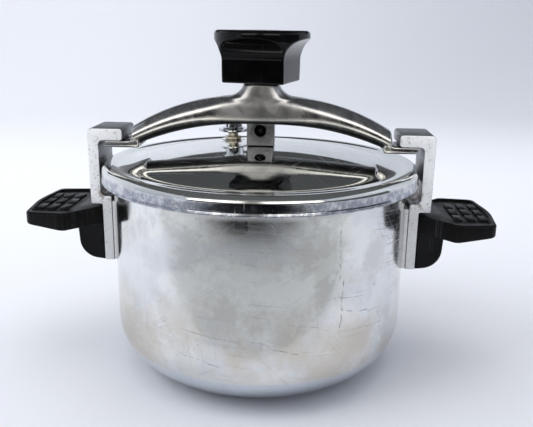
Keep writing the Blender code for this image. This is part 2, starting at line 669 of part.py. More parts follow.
def handle_screw(side, turn):
    """Pan-head screw through the lobe into the bracket's foot."""
    seat_x = HANDLE_IN_X + HANDLE_SCREW_SEAT + GAP
    top_x = seat_x + HANDLE_SCREW_HEAD_T
    tip_x = FOOT_IN_X + WIDE_EDGE
    profile = [(0.0, top_x), (HANDLE_SCREW_HEAD_R * 0.72, top_x),
               (HANDLE_SCREW_HEAD_R, top_x - WIDE_EDGE), (HANDLE_SCREW_HEAD_R, seat_x),
               (HANDLE_SCREW_R, seat_x), (HANDLE_SCREW_R, tip_x + WIDE_EDGE),
               (HANDLE_SCREW_R * 0.7, tip_x), (0.0, tip_x)]
    screw = along_x(f"{side}_handle_screw", profile, STEEL, (0.0, 0.0, HANDLE_SCREW_Z), turn)
    low = (top_x - SCREW_SLOT_DEPTH, -CUT_OVER, HANDLE_SCREW_Z - SCREW_SLOT_HALF_W)
    high = (top_x + CUT_OVER, CUT_OVER, HANDLE_SCREW_Z + SCREW_SLOT_HALF_W)
    slot = box(f"{side}_screw_slot", low, high, None, turn)
    return subtract(screw, slot)


# ---------------------------------------------------------------- lid
def dome_z(radius):
    """Height of the lid's outer surface inside the dome."""
    return DOME_TOP_Z - (DOME_SPHERE - math.sqrt(DOME_SPHERE ** 2 - radius ** 2))


def lid():
    """Domed lid with a trough, a rolled edge and a skirt that hangs over the pot's rim."""
    roll = (LID_R - RIM_ROUND, RIM_TOP_Z - RIM_ROUND)
    trough_r = (DOME_R + roll[0]) / 2
    trough_z = RIM_TOP_Z - TROUGH_DEPTH
    dome = [BOLT_R + GAP, 0.35 * DOME_R, 0.7 * DOME_R, 0.88 * DOME_R, DOME_R]
    outside = [(radius, dome_z(radius)) for radius in dome]
    outside += [(trough_r - TROUGH_BANK, trough_z + TROUGH_BANK_RISE), (trough_r, trough_z)]
    outside += arc(roll, (RIM_ROUND, RIM_ROUND), 90, 0, 4)
    outside += [(LID_R, SKIRT_Z + BEAD_END), (LID_R + BEAD, SKIRT_Z + BEAD_TOP),
                (LID_R + BEAD, SKIRT_Z + BEAD_LOW), (LID_R, SKIRT_Z)]
    inner_roll = RIM_ROUND - LID_T
    inside = [(LID_R - LID_T, SKIRT_Z)]
    inside += arc(roll, (inner_roll, inner_roll), 0, 90, 3)
    inside += [(trough_r, trough_z - LID_T)]
    inside += [(radius, dome_z(radius) - LID_T) for radius in reversed(dome) if radius != dome[3]]
    piece = turned("lid", outside + inside, ALUMINIUM, steps=BIG_STEPS, ring=True)
    for label, spot, bore in (("valve", VALVE_POS, VALVE_STEM_R), ("safety", SAFETY_POS, SAFETY_R)):
        top = seat_top(spot)
        seat = rod_profile(VALVE_SEAT_R, top - VALVE_SEAT_T, top)
        unite(piece, turned(f"{label}_seat", seat, None, (*spot, 0.0), SMALL_STEPS))
        subtract(piece, hole(f"{label}_hole", bore + GAP, top - CUT_OVER, top + CUT_OVER, spot))
    return piece


def seat_top(spot):
    """Height of the flat seat under a valve."""
    return dome_z(math.hypot(*spot)) + SEAT_RISE


def gasket():
    """Rubber ring between the pot's rim and the lid's rolled edge."""
    low = POT_H + GAP
    high = RIM_TOP_Z - TROUGH_DEPTH - LID_T - 2 * GAP
    inner = POT_R - POT_WALL + GASKET_IN
    outer = FLANGE_R - GASKET_OUT
    profile = [(inner + EDGE, high), (outer - EDGE, high), (outer, high - EDGE), (outer, low + EDGE),
               (outer - EDGE, low), (inner + EDGE, low), (inner, low + EDGE), (inner, high - EDGE)]
    return turned("gasket", profile, RUBBER, steps=MID_STEPS, ring=True)


def guide_post():
    """Square steel post on the lid: it guides the yoke and holds the screw's lower end."""
    half = POST_W / 2
    low = (-half, -half, POST_LOW_Z)
    post = box("guide_post", low, (half, half, POST_TOP_Z), STEEL, bevel=EDGE)
    subtract(post, hole("screw_socket", SCREW_R + THREAD_CLEAR, SOCKET_Z, POST_TOP_Z + CUT_OVER))
    bolt_end = POST_LOW_Z + BOLT_REACH + GAP
    subtract(post, hole("bolt_socket", BOLT_R + GAP, POST_LOW_Z - CUT_OVER, bolt_end))
    window = rod_profile(POST_HOLE_R, half - POST_HOLE_DEPTH, half + CUT_OVER)
    subtract(post, along_x("post_window", window, None, (0.0, 0.0, POST_HOLE_Z), -math.pi / 2, 24))
    pin_hole = rod_profile(PIN_R + GAP, SCREW_R - PIN_HOLE_START, half + CUT_OVER)
    subtract(post, along_x("pin_hole", pin_hole, None, (0.0, 0.0, POST_HOLE_Z), -math.pi / 2, 16))
    return post


def retaining_pin():
    """Pin in the post's front wall whose end runs in the clamp screw's groove."""
    inner = SCREW_R - GROOVE_DEPTH + GAP
    outer = POST_W / 2 - POST_HOLE_DEPTH + PIN_SHOW
    profile = [(0.0, outer), (PIN_R - PIN_SHOW, outer), (PIN_R, outer - PIN_SHOW),
               (PIN_R, inner), (0.0, inner)]
    return along_x("retaining_pin", profile, STEEL, (0.0, 0.0, POST_HOLE_Z), -math.pi / 2, 16)


def post_bolt_and_washer():
    """Bolt from under the lid that holds the guide post, with its sealing washer."""
    under = DOME_TOP_Z - LID_T - GAP
    washer_top = under - WASHER_SAG
    washer = [(BOLT_R + GAP, washer_top), (WASHER_R, washer_top), (WASHER_R, under - WASHER_T),
              (BOLT_R + GAP, under - WASHER_T)]
    turned("post_washer", washer, RUBBER, steps=24, ring=True)
    head_top = under - WASHER_T - GAP
    bolt = hexagon("post_bolt", BOLT_HEAD_AF, head_top - BOLT_HEAD_T, head_top, STEEL, (0.0, 0.0))
    shank = rod_profile(BOLT_R, head_top - BOLT_HEAD_T / 2, POST_LOW_Z + BOLT_REACH)
    unite(bolt, turned("post_bolt_shank", shank, None, steps=SMALL_STEPS))


# ---------------------------------------------------------------- valves
def valve_stem():
    """Brass vent stem with a hexagonal collar, clamped through the lid."""
    seat = seat_top(VALVE_POS)
    collar_low = seat + GAP
    collar_top = collar_low + VALVE_COLLAR_T
    tail = seat - VALVE_SEAT_T - SEAL_T - VALVE_NUT_T - STEM_TAIL
    stem = hexagon("valve_stem", VALVE_COLLAR_AF, collar_low, collar_top, BRASS, VALVE_POS)
    tip = collar_top + VALVE_STEM_H
    spindle = [(0.0, tip), (STEM_TIP_R, tip), (VALVE_STEM_R, tip - STEM_TIP_H),
               (VALVE_STEM_R, tail), (0.0, tail)]
    unite(stem, turned("valve_spindle", spindle, None, (*VALVE_POS, 0.0), SMALL_STEPS))
    subtract(stem, hole("valve_bore", VALVE_BORE_R, tail - CUT_OVER, tip + CUT_OVER, VALVE_POS))


def seal_and_nut(label, spot, bore):
    """Sealing washer and nut that clamp a valve from under the lid."""
    under = seat_top(spot) - VALVE_SEAT_T
    seal_top = under - GAP
    seal = [(bore + GAP, seal_top), (VALVE_NUT_AF / 2, seal_top), (VALVE_NUT_AF / 2, seal_top - SEAL_T),
            (bore + GAP, seal_top - SEAL_T)]
    turned(f"{label}_seal", seal, RUBBER, (*spot, 0.0), SMALL_STEPS, ring=True)
    nut_top = seal_top - SEAL_T - GAP
    hexagon(f"{label}_nut", VALVE_NUT_AF, nut_top - VALVE_NUT_T, nut_top, BRASS, spot, bore + GAP)


def valve_weight():
    """Chromed weight that sits over the vent stem and lifts off it."""
    base = seat_top(VALVE_POS) + GAP + VALVE_COLLAR_T + WEIGHT_RISE
    flange_top = base + WEIGHT_FLANGE_T
    top = base + WEIGHT_H
    crown_in, crown_down = WEIGHT_CROWN
    waist_depth, waist_start, waist_top = WEIGHT_WAIST
    waist_r = WEIGHT_R - waist_depth
    clear, taper, end_r = WEIGHT_BORE
    hollow_r = VALVE_STEM_R + clear
    hollow_top = base - WEIGHT_RISE + VALVE_STEM_H + GAP
    profile = [(0.0, top), (WEIGHT_R - crown_in, top), (WEIGHT_R, top - crown_down),
               (WEIGHT_R, top - waist_start), (waist_r, top - waist_top),
               (waist_r, flange_top + WIDE_EDGE), (waist_r + WIDE_EDGE, flange_top),
               (WEIGHT_FLANGE_R - EDGE, flange_top), (WEIGHT_FLANGE_R, flange_top - EDGE),
               (WEIGHT_FLANGE_R - EDGE, base), (hollow_r, base), (hollow_r, hollow_top - taper),
               (end_r, hollow_top), (0.0, hollow_top)]
    return turned("valve_weight", profile, CHROME, (*VALVE_POS, 0.0), 28)


def safety_valve():
    """Spring safety valve: body, plunger, spring and screwed cap."""
    seat = seat_top(SAFETY_POS)
    low = seat + GAP
    base_top = low + SAFETY_BASE_T
    top = base_top + SAFETY_H - SAFETY_BASE_T
    floor = low + SAFETY_FLOOR
    tail = seat - VALVE_SEAT_T - SEAL_T - VALVE_NUT_T - SAFETY_TAIL
    body = hexagon("safety_valve_body", SAFETY_AF, low, base_top, BRASS, SAFETY_POS)
    barrel = rod_profile(SAFETY_R, tail, top)
    unite(body, turned("safety_barrel", barrel, None, (*SAFETY_POS, 0.0), SMALL_STEPS))
    cavity = [(0.0, top + CUT_OVER), (SAFETY_CAVITY_R, top + CUT_OVER), (SAFETY_CAVITY_R, floor),
              (SAFETY_INLET_R, floor), (SAFETY_INLET_R, tail - CUT_OVER), (0.0, tail - CUT_OVER)]
    subtract(body, turned("safety_cavity", cavity, None, (*SAFETY_POS, 0.0), SMALL_STEPS))

    cap_low = top + GAP
    cap_top = cap_low + SAFETY_CAP_T
    stem_hole = PLUNGER_R + PLUNGER_PLAY
    cap = [(stem_hole, cap_top), (SAFETY_CAP_R - WIDE_EDGE, cap_top), (SAFETY_CAP_R, cap_top - WIDE_EDGE),
           (SAFETY_CAP_R, top - SAFETY_CAP_SKIRT), (SAFETY_R + GAP, top - SAFETY_CAP_SKIRT),
           (SAFETY_R + GAP, cap_low), (stem_hole, cap_low)]
    turned("safety_valve_cap", cap, BRASS, (*SAFETY_POS, 0.0), 24, ring=True)

    disc_low = floor + GAP
    disc_top = disc_low + PLUNGER_DISC_T
    tip = cap_top + PLUNGER_SHOW
    disc_r = SAFETY_CAVITY_R - DISC_PLAY
    plunger = [(0.0, tip), (PLUNGER_R * 0.6, tip), (PLUNGER_R, tip - WIDE_EDGE), (PLUNGER_R, disc_top),
               (disc_r, disc_top), (disc_r, disc_low), (0.0, disc_low)]
    turned("safety_valve_plunger", plunger, STEEL, (*SAFETY_POS, 0.0), 16)
    coil_r = (SAFETY_CAVITY_R + PLUNGER_R) / 2
    spring("safety_valve_spring", coil_r, disc_top + GAP + SPRING_WIRE_R, cap_low - GAP - SPRING_WIRE_R)


def spring(name, radius, low, high):
    """Coil spring about the safety valve's axis."""
    curve = bpy.data.curves.new(name, "CURVE")
    curve.dimensions = "3D"
    curve.bevel_depth = SPRING_WIRE_R
    curve.bevel_resolution = 0
    curve.use_fill_caps = True
    count = SPRING_TURNS * 10
    path = curve.splines.new("POLY")
    path.points.add(count)
    for k in range(count + 1):
        angle = math.tau * SPRING_TURNS * k / count
        path.points[k].co = (radius * math.cos(angle), radius * math.sin(angle),
                             low + (high - low) * k / count, 1.0)
    obj = bpy.data.objects.new(name, curve)
    bpy.context.scene.collection.objects.link(obj)
    obj.location = (*SAFETY_POS, 0.0)
    place(obj, STEEL)


# ---------------------------------------------------------------- yoke
def arch_z(x, middle, end, end_x, power):
    """Height of one of the yoke's two arched edges."""
    return middle - (middle - end) * (abs(x) / end_x) ** power


def oval(half_a, half_b, squareness, count=16):
    """Points round a superellipse, widest along the first axis."""
    points = []
    for k in range(count):
        angle = math.tau * (k + 0.5) / count
        c, s = math.cos(angle), math.sin(angle)
        points.append((half_a * math.copysign(abs(c) ** (2 / squareness), c),
                       half_b * math.copysign(abs(s) ** (2 / squareness), s)))
    return points


def yoke():
    """Cast yoke: two arched arms with end tongues, and a flared neck in the middle."""
    stations = 18
    rings = []
    for k in range(stations + 1):
        x = -SHOULDER_X + 2 * SHOULDER_X * k / stations
        top = arch_z(x, YOKE_TOP_Z, SHOULDER_TOP_Z, SHOULDER_X, ARCH_TOP_POWER)
        low = arch_z(x, YOKE_LOW_Z, TONGUE_LOW_Z, SHOULDER_X, ARCH_LOW_POWER)
        squareness = ARM_SQUARE + MID_SQUARE * math.exp(-(x / MID_REACH) ** 2)
        ring = oval(YOKE_W / 2, (top - low) / 2, squareness)
        rings.append([(x, y, (top + low) / 2 + z) for y, z in ring])
    piece = loft("yoke", rings, CAST)
    unite(piece, loft("yoke_neck", neck_rings(), None))

    for label, sign in (("right", 1), ("left", -1)):
        ends = sorted((sign * (SHOULDER_X - TONGUE_ROOT), sign * TONGUE_R))
        half = YOKE_W / 2 - TONGUE_SIDE
        tongue = box(f"{label}_tongue", (ends[0], -half, TONGUE_LOW_Z), (ends[1], half, TONGUE_TOP_Z), None)
        unite(piece, tongue)
    limit = turned("tongue_limit", tube_profile(TONGUE_R, TONGUE_R + HOOK_REACH, POT_H, KNOB_TOP_Z), None,
                   steps=BIG_STEPS, ring=True)
    subtract(piece, limit)
    half = POCKET_W / 2
    low = (-half, -half, YOKE_LOW_Z - CUT_OVER)
    subtract(piece, box("post_pocket", low, (half, half, POCKET_TOP_Z), None))
    bush_low = POCKET_TOP_Z - CUT_OVER / 2
    subtract(piece, hole("bush_bore", BUSH_R + GAP, bush_low, NECK_TOP_Z + CUT_OVER))
    smooth(piece, 40)
    return piece


def neck_rings():
    """Rings of the neck, from its foot inside the arms up through the flare to its top."""
    depth = NECK_H + NECK_SINK
    reach = math.sqrt(FLARE_R ** 2 - (FLARE_R - depth) ** 2)
    foot_z = YOKE_LOW_Z + YOKE_T_MID / 2
    half = YOKE_W / 2 - NECK_SIDE
    rings = [[(x, y, foot_z) for x, y in oval(NECK_R + reach + NECK_WEB, half, NECK_SQUARE)]]
    steps = 7
    for k in range(steps + 1):
        rise = depth * (k / steps) ** 2
        wide = NECK_R + reach - math.sqrt(FLARE_R ** 2 - (FLARE_R - rise) ** 2)
        rings.append([(x, y, NECK_TOP_Z - depth + rise) for x, y in oval(wide, half, NECK_SQUARE)])
    return rings


def tube_profile(inner, outer, low, high):
    """Closed profile of a plain tube."""
    return [(inner, high), (outer, high), (outer, low), (inner, low)]


def thread_bush():
    """Steel bush in the neck that carries the clamp screw's thread."""
    profile = tube_profile(SCREW_R + THREAD_CLEAR, BUSH_R, POCKET_TOP_Z + GAP, NECK_TOP_Z - GAP)
    return turned("thread_bush", profile, STEEL, steps=24, ring=True)


# ---------------------------------------------------------------- clamp screw and knob
def clamp_screw():
    """Clamp screw: grooved foot in the guide post, thread through the bush, square top."""
    core = SCREW_R - GROOVE_DEPTH
    groove_top = GROOVE_LOW_Z + GROOVE_H
    hole_low = SCREW_TOP_Z - FIX_REACH - GAP
    bore = FIX_SCREW_R + GAP
    shoulder = GROOVE_SHOULDER
    profile = [(0.0, hole_low), (bore, hole_low), (bore, SCREW_TOP_Z),
               (SCREW_R - WIDE_EDGE, SCREW_TOP_Z), (SCREW_R, SCREW_TOP_Z - WIDE_EDGE),
               (SCREW_R, groove_top + shoulder), (core, groove_top), (core, GROOVE_LOW_Z),
               (SCREW_R, GROOVE_LOW_Z - shoulder / 2), (SCREW_R, SCREW_LOW_Z + EDGE),
               (SCREW_R - EDGE, SCREW_LOW_Z), (0.0, SCREW_LOW_Z)]
    return turned("clamp_screw", profile, STEEL, steps=24)


def knob_insert():
    """Brass sleeve moulded into the knob, closed at the top except for the fixing screw."""
    low = KNOB_LOW_Z + EDGE
    bore = SCREW_R + GAP
    screw_bore = FIX_SCREW_R + GAP
    outer = INSERT_R - INSERT_FIT
    top = CAP_WELL_Z - GAP
    profile = [(screw_bore, top), (outer, top), (outer, low), (bore, low), (bore, INSERT_TOP_Z),
               (screw_bore, INSERT_TOP_Z)]
    return turned("knob_insert", profile, BRASS, steps=24, ring=True)


def knob():
    """Moulded knob: round at the top, with four scoops that leave a square lower part."""
    top = KNOB_TOP_Z
    profile = [(0.0, top)] + [(KNOB_R - inward, top - down) for inward, down in KNOB_CROWN]
    profile += [(KNOB_R, top - KNOB_RIM_H - KNOB_BAND), (KNOB_R_LOW, KNOB_LOW_Z + EDGE),
                (KNOB_R_LOW - EDGE, KNOB_LOW_Z), (0.0, KNOB_LOW_Z)]
    piece = turned("knob", profile, BAKELITE, steps=40, turn=KNOB_TURN)
    start_z = KNOB_LOW_Z + KNOB_SCOOP_H
    rise = KNOB_TOP_Z - KNOB_RIM_H - start_z
    run = KNOB_R + SCOOP_OUT - KNOB_FLAT
    sweep_r = (run ** 2 + rise ** 2) / (2 * run)
    end_angle = 180 - math.degrees(math.asin(rise / sweep_r))
    scoop = [(KNOB_FLAT, KNOB_LOW_Z - CUT_OVER)]
    scoop += arc((KNOB_FLAT + sweep_r, start_z), (sweep_r, sweep_r), 180, end_angle, 6)
    past = KNOB_R + 2 * CUT_OVER
    scoop += [(past, KNOB_TOP_Z - KNOB_RIM_H), (past, KNOB_LOW_Z - CUT_OVER)]
    for k in range(4):
        cutter = flat_outline(f"knob_scoop_{k}", scoop, KNOB_R * 1.5, None,
                              turn=KNOB_TURN + k * math.pi / 2)
        subtract(piece, cutter)
    bore = INSERT_R + GAP - INSERT_FIT
    subtract(piece, hole("insert_bore", bore, KNOB_LOW_Z - CUT_OVER, CAP_WELL_Z + GAP))
    subtract(piece, hole("cap_well", CAP_R + GAP, CAP_WELL_Z, KNOB_TOP_Z + CUT_OVER))
    return piece


def knob_fastening():
    """Fixing screw in the knob's well, and the cap that covers it."""
    seat = CAP_WELL_Z + GAP
    head_top = seat + FIX_HEAD_T
    tip = SCREW_TOP_Z - FIX_REACH
    profile = [(0.0, head_top), (FIX_HEAD_R - WIDE_EDGE, head_top), (FIX_HEAD_R, head_top - WIDE_EDGE),
               (FIX_HEAD_R, seat), (FIX_SCREW_R, seat), (FIX_SCREW_R, tip), (0.0, tip)]
    screw = turned("knob_fixing_screw", profile, STEEL, steps=20)
    low = (-CUT_OVER, -FIX_SLOT_HALF_W, head_top - SCREW_SLOT_DEPTH)
    high = (CUT_OVER, FIX_SLOT_HALF_W, head_top + CUT_OVER)
    subtract(screw, box("fixing_slot", low, high, None, KNOB_TURN))
    cap_top = KNOB_TOP_Z - CAP_SINK
    cap = [(0.0, cap_top), (CAP_R - EDGE, cap_top), (CAP_R, cap_top - EDGE), (CAP_R, cap_top - CAP_T),
           (0.0, cap_top - CAP_T)]
    turned("knob_cap", cap, BAKELITE, steps=MID_STEPS)


def build():
    """Model every piece of the canner."""
    start_scene()
    pot_body()
    for side, turn in (("right", 0.0), ("left", math.pi)):
        bracket(side, turn)
        bracket_pad(side, turn)
        rivets(side, turn)
        handle(side, turn)
        handle_screw(side, turn)
    lid()
    gasket()
    guide_post()
    retaining_pin()
    post_bolt_and_washer()
    valve_stem()
    seal_and_nut("valve", VALVE_POS, VALVE_STEM_R)
    valve_weight()
    safety_valve()
    seal_and_nut("safety_valve", SAFETY_POS, SAFETY_R)
    yoke()
    thread_bush()
    clamp_screw()
    knob_insert()
    knob()
    knob_fastening()


build()
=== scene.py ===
"""Pressure canner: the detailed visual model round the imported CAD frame, with its studio.

Lengths are in metres in the frame's own axes: +Z up, +X towards the right-hand handle, and the
camera looks along +Y. Most sizes repeat those of the CAD source, and heights hang on the CAD boxes.
The dome's fall, the screw's thread and the yoke's skin are this script's own.
"""
import math
from functools import partialmethod

import bmesh
import bpy
from mathutils import Matrix, Vector


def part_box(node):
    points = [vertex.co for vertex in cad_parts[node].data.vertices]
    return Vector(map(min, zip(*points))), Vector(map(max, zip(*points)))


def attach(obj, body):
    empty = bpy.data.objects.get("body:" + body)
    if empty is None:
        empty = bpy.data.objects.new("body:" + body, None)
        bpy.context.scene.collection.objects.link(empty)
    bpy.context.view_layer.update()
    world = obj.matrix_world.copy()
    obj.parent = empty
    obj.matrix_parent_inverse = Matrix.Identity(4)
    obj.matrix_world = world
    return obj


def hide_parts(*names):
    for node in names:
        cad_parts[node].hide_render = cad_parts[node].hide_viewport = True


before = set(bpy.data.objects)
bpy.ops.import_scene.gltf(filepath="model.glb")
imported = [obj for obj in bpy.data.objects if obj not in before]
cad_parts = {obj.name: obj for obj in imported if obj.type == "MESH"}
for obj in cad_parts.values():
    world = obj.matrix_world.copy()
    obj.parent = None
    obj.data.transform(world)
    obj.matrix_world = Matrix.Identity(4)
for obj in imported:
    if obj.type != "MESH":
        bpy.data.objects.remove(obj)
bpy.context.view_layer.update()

# ---------------------------------------------------------------- sizes, most of them the CAD's
GAP = 0.0003
WIDE_EDGE = 0.0008
CUT_OVER = 0.01
POT_R = 0.110
POT_WALL = 0.0025
POT_FLOOR = 0.004
POT_CORNER_R = 0.050
POT_CORNER_H = 0.042
FLANGE_R = 0.1145
FLANGE_T = 0.003
LID_R = 0.118
LID_T = 0.002
RIM_ROUND = 0.005
DOME_R = 0.094
TROUGH_DEPTH = 0.0008
HALF_BRACKET = 0.018
BRACKET_T = 0.008
POST_SIDE_GAP = 0.0015
PAD_T = 0.0015
FOOT_T = 0.0073
HOOK_T = 0.009
STEP_DROP = 0.0065
FOOT_H = 0.051
RIVET_HOLE_R = 0.0028
RIVET_SINK_R = 0.0045
RIVET_SINK_DEPTH = 0.0018
RIVET_SPREAD = 0.010
RIVET_UPPER = 0.034
RIVET_LOWER = 0.0065
HANDLE_SCREW_H = 0.0175
HANDLE_SCREW_SEAT = 0.009
HANDLE_SCREW_WELL_R = 0.0045
HANDLE_LENGTH = 0.0567
HANDLE_W = 0.082
GRIP_T_ROOT = 0.0135
GRIP_T_TIP = 0.0084
LOBE_REACH = 0.0202
PANEL_START = 0.018
PANEL_RIM = 0.0032
PANEL_DEPTH = 0.0014
GRIP_WIDE_X = 0.0245
GRIP_SLOPE_X = 0.022
LOBE_DROP = 0.004
LOBE_LEAN = 0.002
PAD_COUNT = 3
PAD_FIRST = 0.0075
PAD_PITCH = (0.0092, 0.0165)
PAD_LENGTH = 0.0052
PAD_HALF_W = 0.0066
PAD_SINK = 0.0004
YOKE_W = 0.028
YOKE_T_MID = 0.0207
NECK_R = 0.013
NECK_H = 0.0085
NECK_WEB = 0.006
NECK_SINK = 0.0012
NECK_SQUARE = 3.6
FLARE_R = 0.014
ARM_SQUARE = 2.15
MID_SQUARE = 2.6
MID_REACH = 0.030
ARCH_TOP_POWER = 2.44
ARCH_LOW_POWER = 2.245
NECK_SIDE = 0.0002
TONGUE_T = 0.0054
TONGUE_SIDE = 0.001
TONGUE_ROOT = 0.006
SKIN_VOXEL = 0.0008
POCKET_HALF = 0.0103
POCKET_RISE = 0.006
SHOULDER_X = 0.0966
SHOULDER_H = 0.0153
SCREW_R = 0.006
SCREW_PITCH = 0.003
THREAD_DEPTH = 0.0011
BUSH_R = 0.0088
GROOVE_RISE = 0.0022
GROOVE_H = 0.0044
GROOVE_DEPTH = 0.0017
POST_HOLE_R = 0.0045
POST_HOLE_DEPTH = 0.0024
POST_HOLE_H = 0.0113
BOLT_HOLE_R = 0.0033
BOLT_HOLE_DEPTH = 0.0053
PIN_HOLE_R = 0.0022
KNOB_R = 0.035
KNOB_R_LOW = 0.0325
KNOB_FLAT = 0.023
KNOB_SCOOP_H = 0.0155
KNOB_RIM_H = 0.0055
KNOB_BAND = 0.002
KNOB_CROWN_H = 0.0032
KNOB_CROWN_IN = 0.0028
KNOB_FOOT_EDGE = 0.0009
KNOB_TURN = math.radians(-14)
KNOB_BORE_R = 0.009
CAP_R = 0.012
CAP_WELL = 0.0085
CAP_SINK = 0.0006
CAP_T = 0.0022
VALVE_SPOT = (-0.024, 0.028)
SAFETY_SPOT = (-0.001, 0.032)
SEAT_R = 0.0095
SEAT_T = 0.0037
VALVE_BORE_R = 0.0014
COLLAR_AF = 0.0115
COLLAR_T = 0.0022
STEM_R = 0.0041
STEM_TIP_R = 0.0022
STEM_H = 0.0115
WEIGHT_R = 0.0095
WEIGHT_WAIST_R = 0.0075
WEIGHT_FLANGE_R = 0.012
WEIGHT_FLANGE_T = 0.0020
WEIGHT_BORE_R = 0.0047
WEIGHT_DROP = 0.0038
SAFETY_R = 0.0049
SAFETY_AF = 0.0135
SAFETY_BASE_T = 0.0040
SAFETY_CAP_R = 0.0062
SAFETY_CAVITY_R = 0.0038
SAFETY_FLOOR = 0.0018
SAFETY_INLET_R = 0.0017
PLUNGER_R = 0.0018
PLUNGER_DISC_T = 0.0012
PLUNGER_PLAY = 0.0004
DISC_PLAY = 0.0005

SIDES = (("right", 1), ("left", -1))

POT_LOW, POT_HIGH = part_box("pot_body")
LID_LOW, LID_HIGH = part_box("lid")
YOKE_LOW, YOKE_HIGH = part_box("yoke")
KNOB_LOW, KNOB_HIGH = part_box("knob")
POST_LOW, POST_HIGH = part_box("guide_post")
BRACKET_LOW, BRACKET_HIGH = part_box("right_bracket")
HANDLE_LOW, HANDLE_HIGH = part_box("right_handle")
SCREW_LOW, SCREW_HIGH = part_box("clamp_screw")

# ---------------------------------------------------------------- heights and places from them
RIM_TOP_Z = POT_HIGH.z + 0.008
ROLL_R = LID_R - RIM_ROUND
DOME_TOP_Z = RIM_TOP_Z + 0.0115
DOME_RISE = 0.0110    # from the dome's edge to its top; the CAD's is 0.0095
DOME_SPHERE = (DOME_R ** 2 + DOME_RISE ** 2) / (2 * DOME_RISE)
SKIRT_Z = LID_LOW.z
TROUGH_R = (DOME_R + ROLL_R) / 2
TROUGH_Z = RIM_TOP_Z - TROUGH_DEPTH
SEAT_RISE = 0.0008
FOOT_Z = BRACKET_LOW.z
LEDGE_Z = FOOT_Z + FOOT_H
BRACKET_FOOT_X = POT_R + PAD_T
SCREW_HOLE_Z = FOOT_Z + HANDLE_SCREW_H
BRACKET_TIP_X = BRACKET_LOW.x
POST_WINDOW_Z = POST_LOW.z + POST_HOLE_H

# ---------------------------------------------------------------- camera
CAMERA_LENS = 45.02
CAMERA_PLACE = Vector((0.0321, -0.4985, 0.256))
CAMERA_PITCH = 15.7
CAMERA_YAW = -3.12
CAMERA_ROLL = 0.83


# ---------------------------------------------------------------- mesh helpers
def placed(name, data):
    """A new object in the scene."""
    obj = bpy.data.objects.new(name, data)
    bpy.context.scene.collection.objects.link(obj)
    return obj


def smoothed(mesh, angle=35):
    """Shade a mesh smooth except across edges sharper than the angle in degrees."""
    mesh.shade_smooth()
    mesh.set_sharp_from_angle(angle=math.radians(angle))
    return mesh


def finish(name, work, angle=35):
    """Make an object of a bmesh, with outward faces."""
    bmesh.ops.recalc_face_normals(work, faces=work.faces)
    return unchecked(name, work, angle)


def unchecked(name, work, angle=35):
    """Make an object of a bmesh, with its faces as they are."""
    mesh = bpy.data.meshes.new(name)
    work.to_mesh(mesh)
    work.free()
    return placed(name, smoothed(mesh, angle))


def rounded(corners, steps=5):
    """Turn (a, b, radius) corners into a closed outline whose corners are arcs."""
    outline = []
    for i, (a, b, radius) in enumerate(corners):
        if radius <= 0.0:
            outline.append((a, b))
            continue
        here = Vector((a, b))
        before = Vector(corners[i - 1][:2]) - here
        after = Vector(corners[(i + 1) % len(corners)][:2]) - here
        half = before.angle(after) / 2
        reach = radius / math.tan(half)
        middle = here + (before.normalized() + after.normalized()).normalized() * (radius / math.sin(half))
        start = here + before.normalized() * reach - middle
        sweep = start.angle_signed(here + after.normalized() * reach - middle)
        for k in range(steps + 1):
            outline.append(tuple(middle + Matrix.Rotation(-sweep * k / steps, 2) @ start))
    return outline


def arc(centre, radii, start, end, steps):
    """Points on an ellipse's arc, its angles in degrees from +r towards +z."""
    points = []
    for k in range(steps + 1):
        angle = math.radians(start + (end - start) * k / steps)
        points.append((centre[0] + radii[0] * math.cos(angle), centre[1] + radii[1] * math.sin(angle)))
    return points


def polar(name, rows, steps, centre=(0.0, 0.0), ring=False, angle=35):
    """Skin rows of (radius, height), where a row may be a function of the turn's angle.

    A radius of zero makes one point on the axis. With ring, the last row joins the first.
    """
    work = bmesh.new()
    made = []
    for row in rows:
        first = row(0.0) if callable(row) else row
        if first[0] < 1e-7:
            made.append([work.verts.new((centre[0], centre[1], first[1]))])
            continue
        circle = []
        for k in range(steps):
            turn = math.tau * k / steps
            radius, height = row(turn) if callable(row) else row
            circle.append(work.verts.new((centre[0] + radius * math.cos(turn),
                                          centre[1] + radius * math.sin(turn), height)))
        made.append(circle)
    pairs = list(zip(made, made[1:]))
    if ring:
        pairs.append((made[-1], made[0]))
    for upper, lower in pairs:
        for k in range(steps):
            n = (k + 1) % steps
            corners = [row[i % len(row)] for row, i in ((upper, k), (upper, n), (lower, n), (lower, k))]
            unique = list(dict.fromkeys(corners))
            if len(unique) > 2:
                work.faces.new(unique)
    return finish(name, work, angle)


def spun(name, corners, steps=64, centre=(0.0, 0.0), ring=False, angle=35, fine=3):
    """A turned piece from (radius, height, corner radius) corners."""
    return polar(name, rounded(corners, fine), steps, centre, ring, angle)


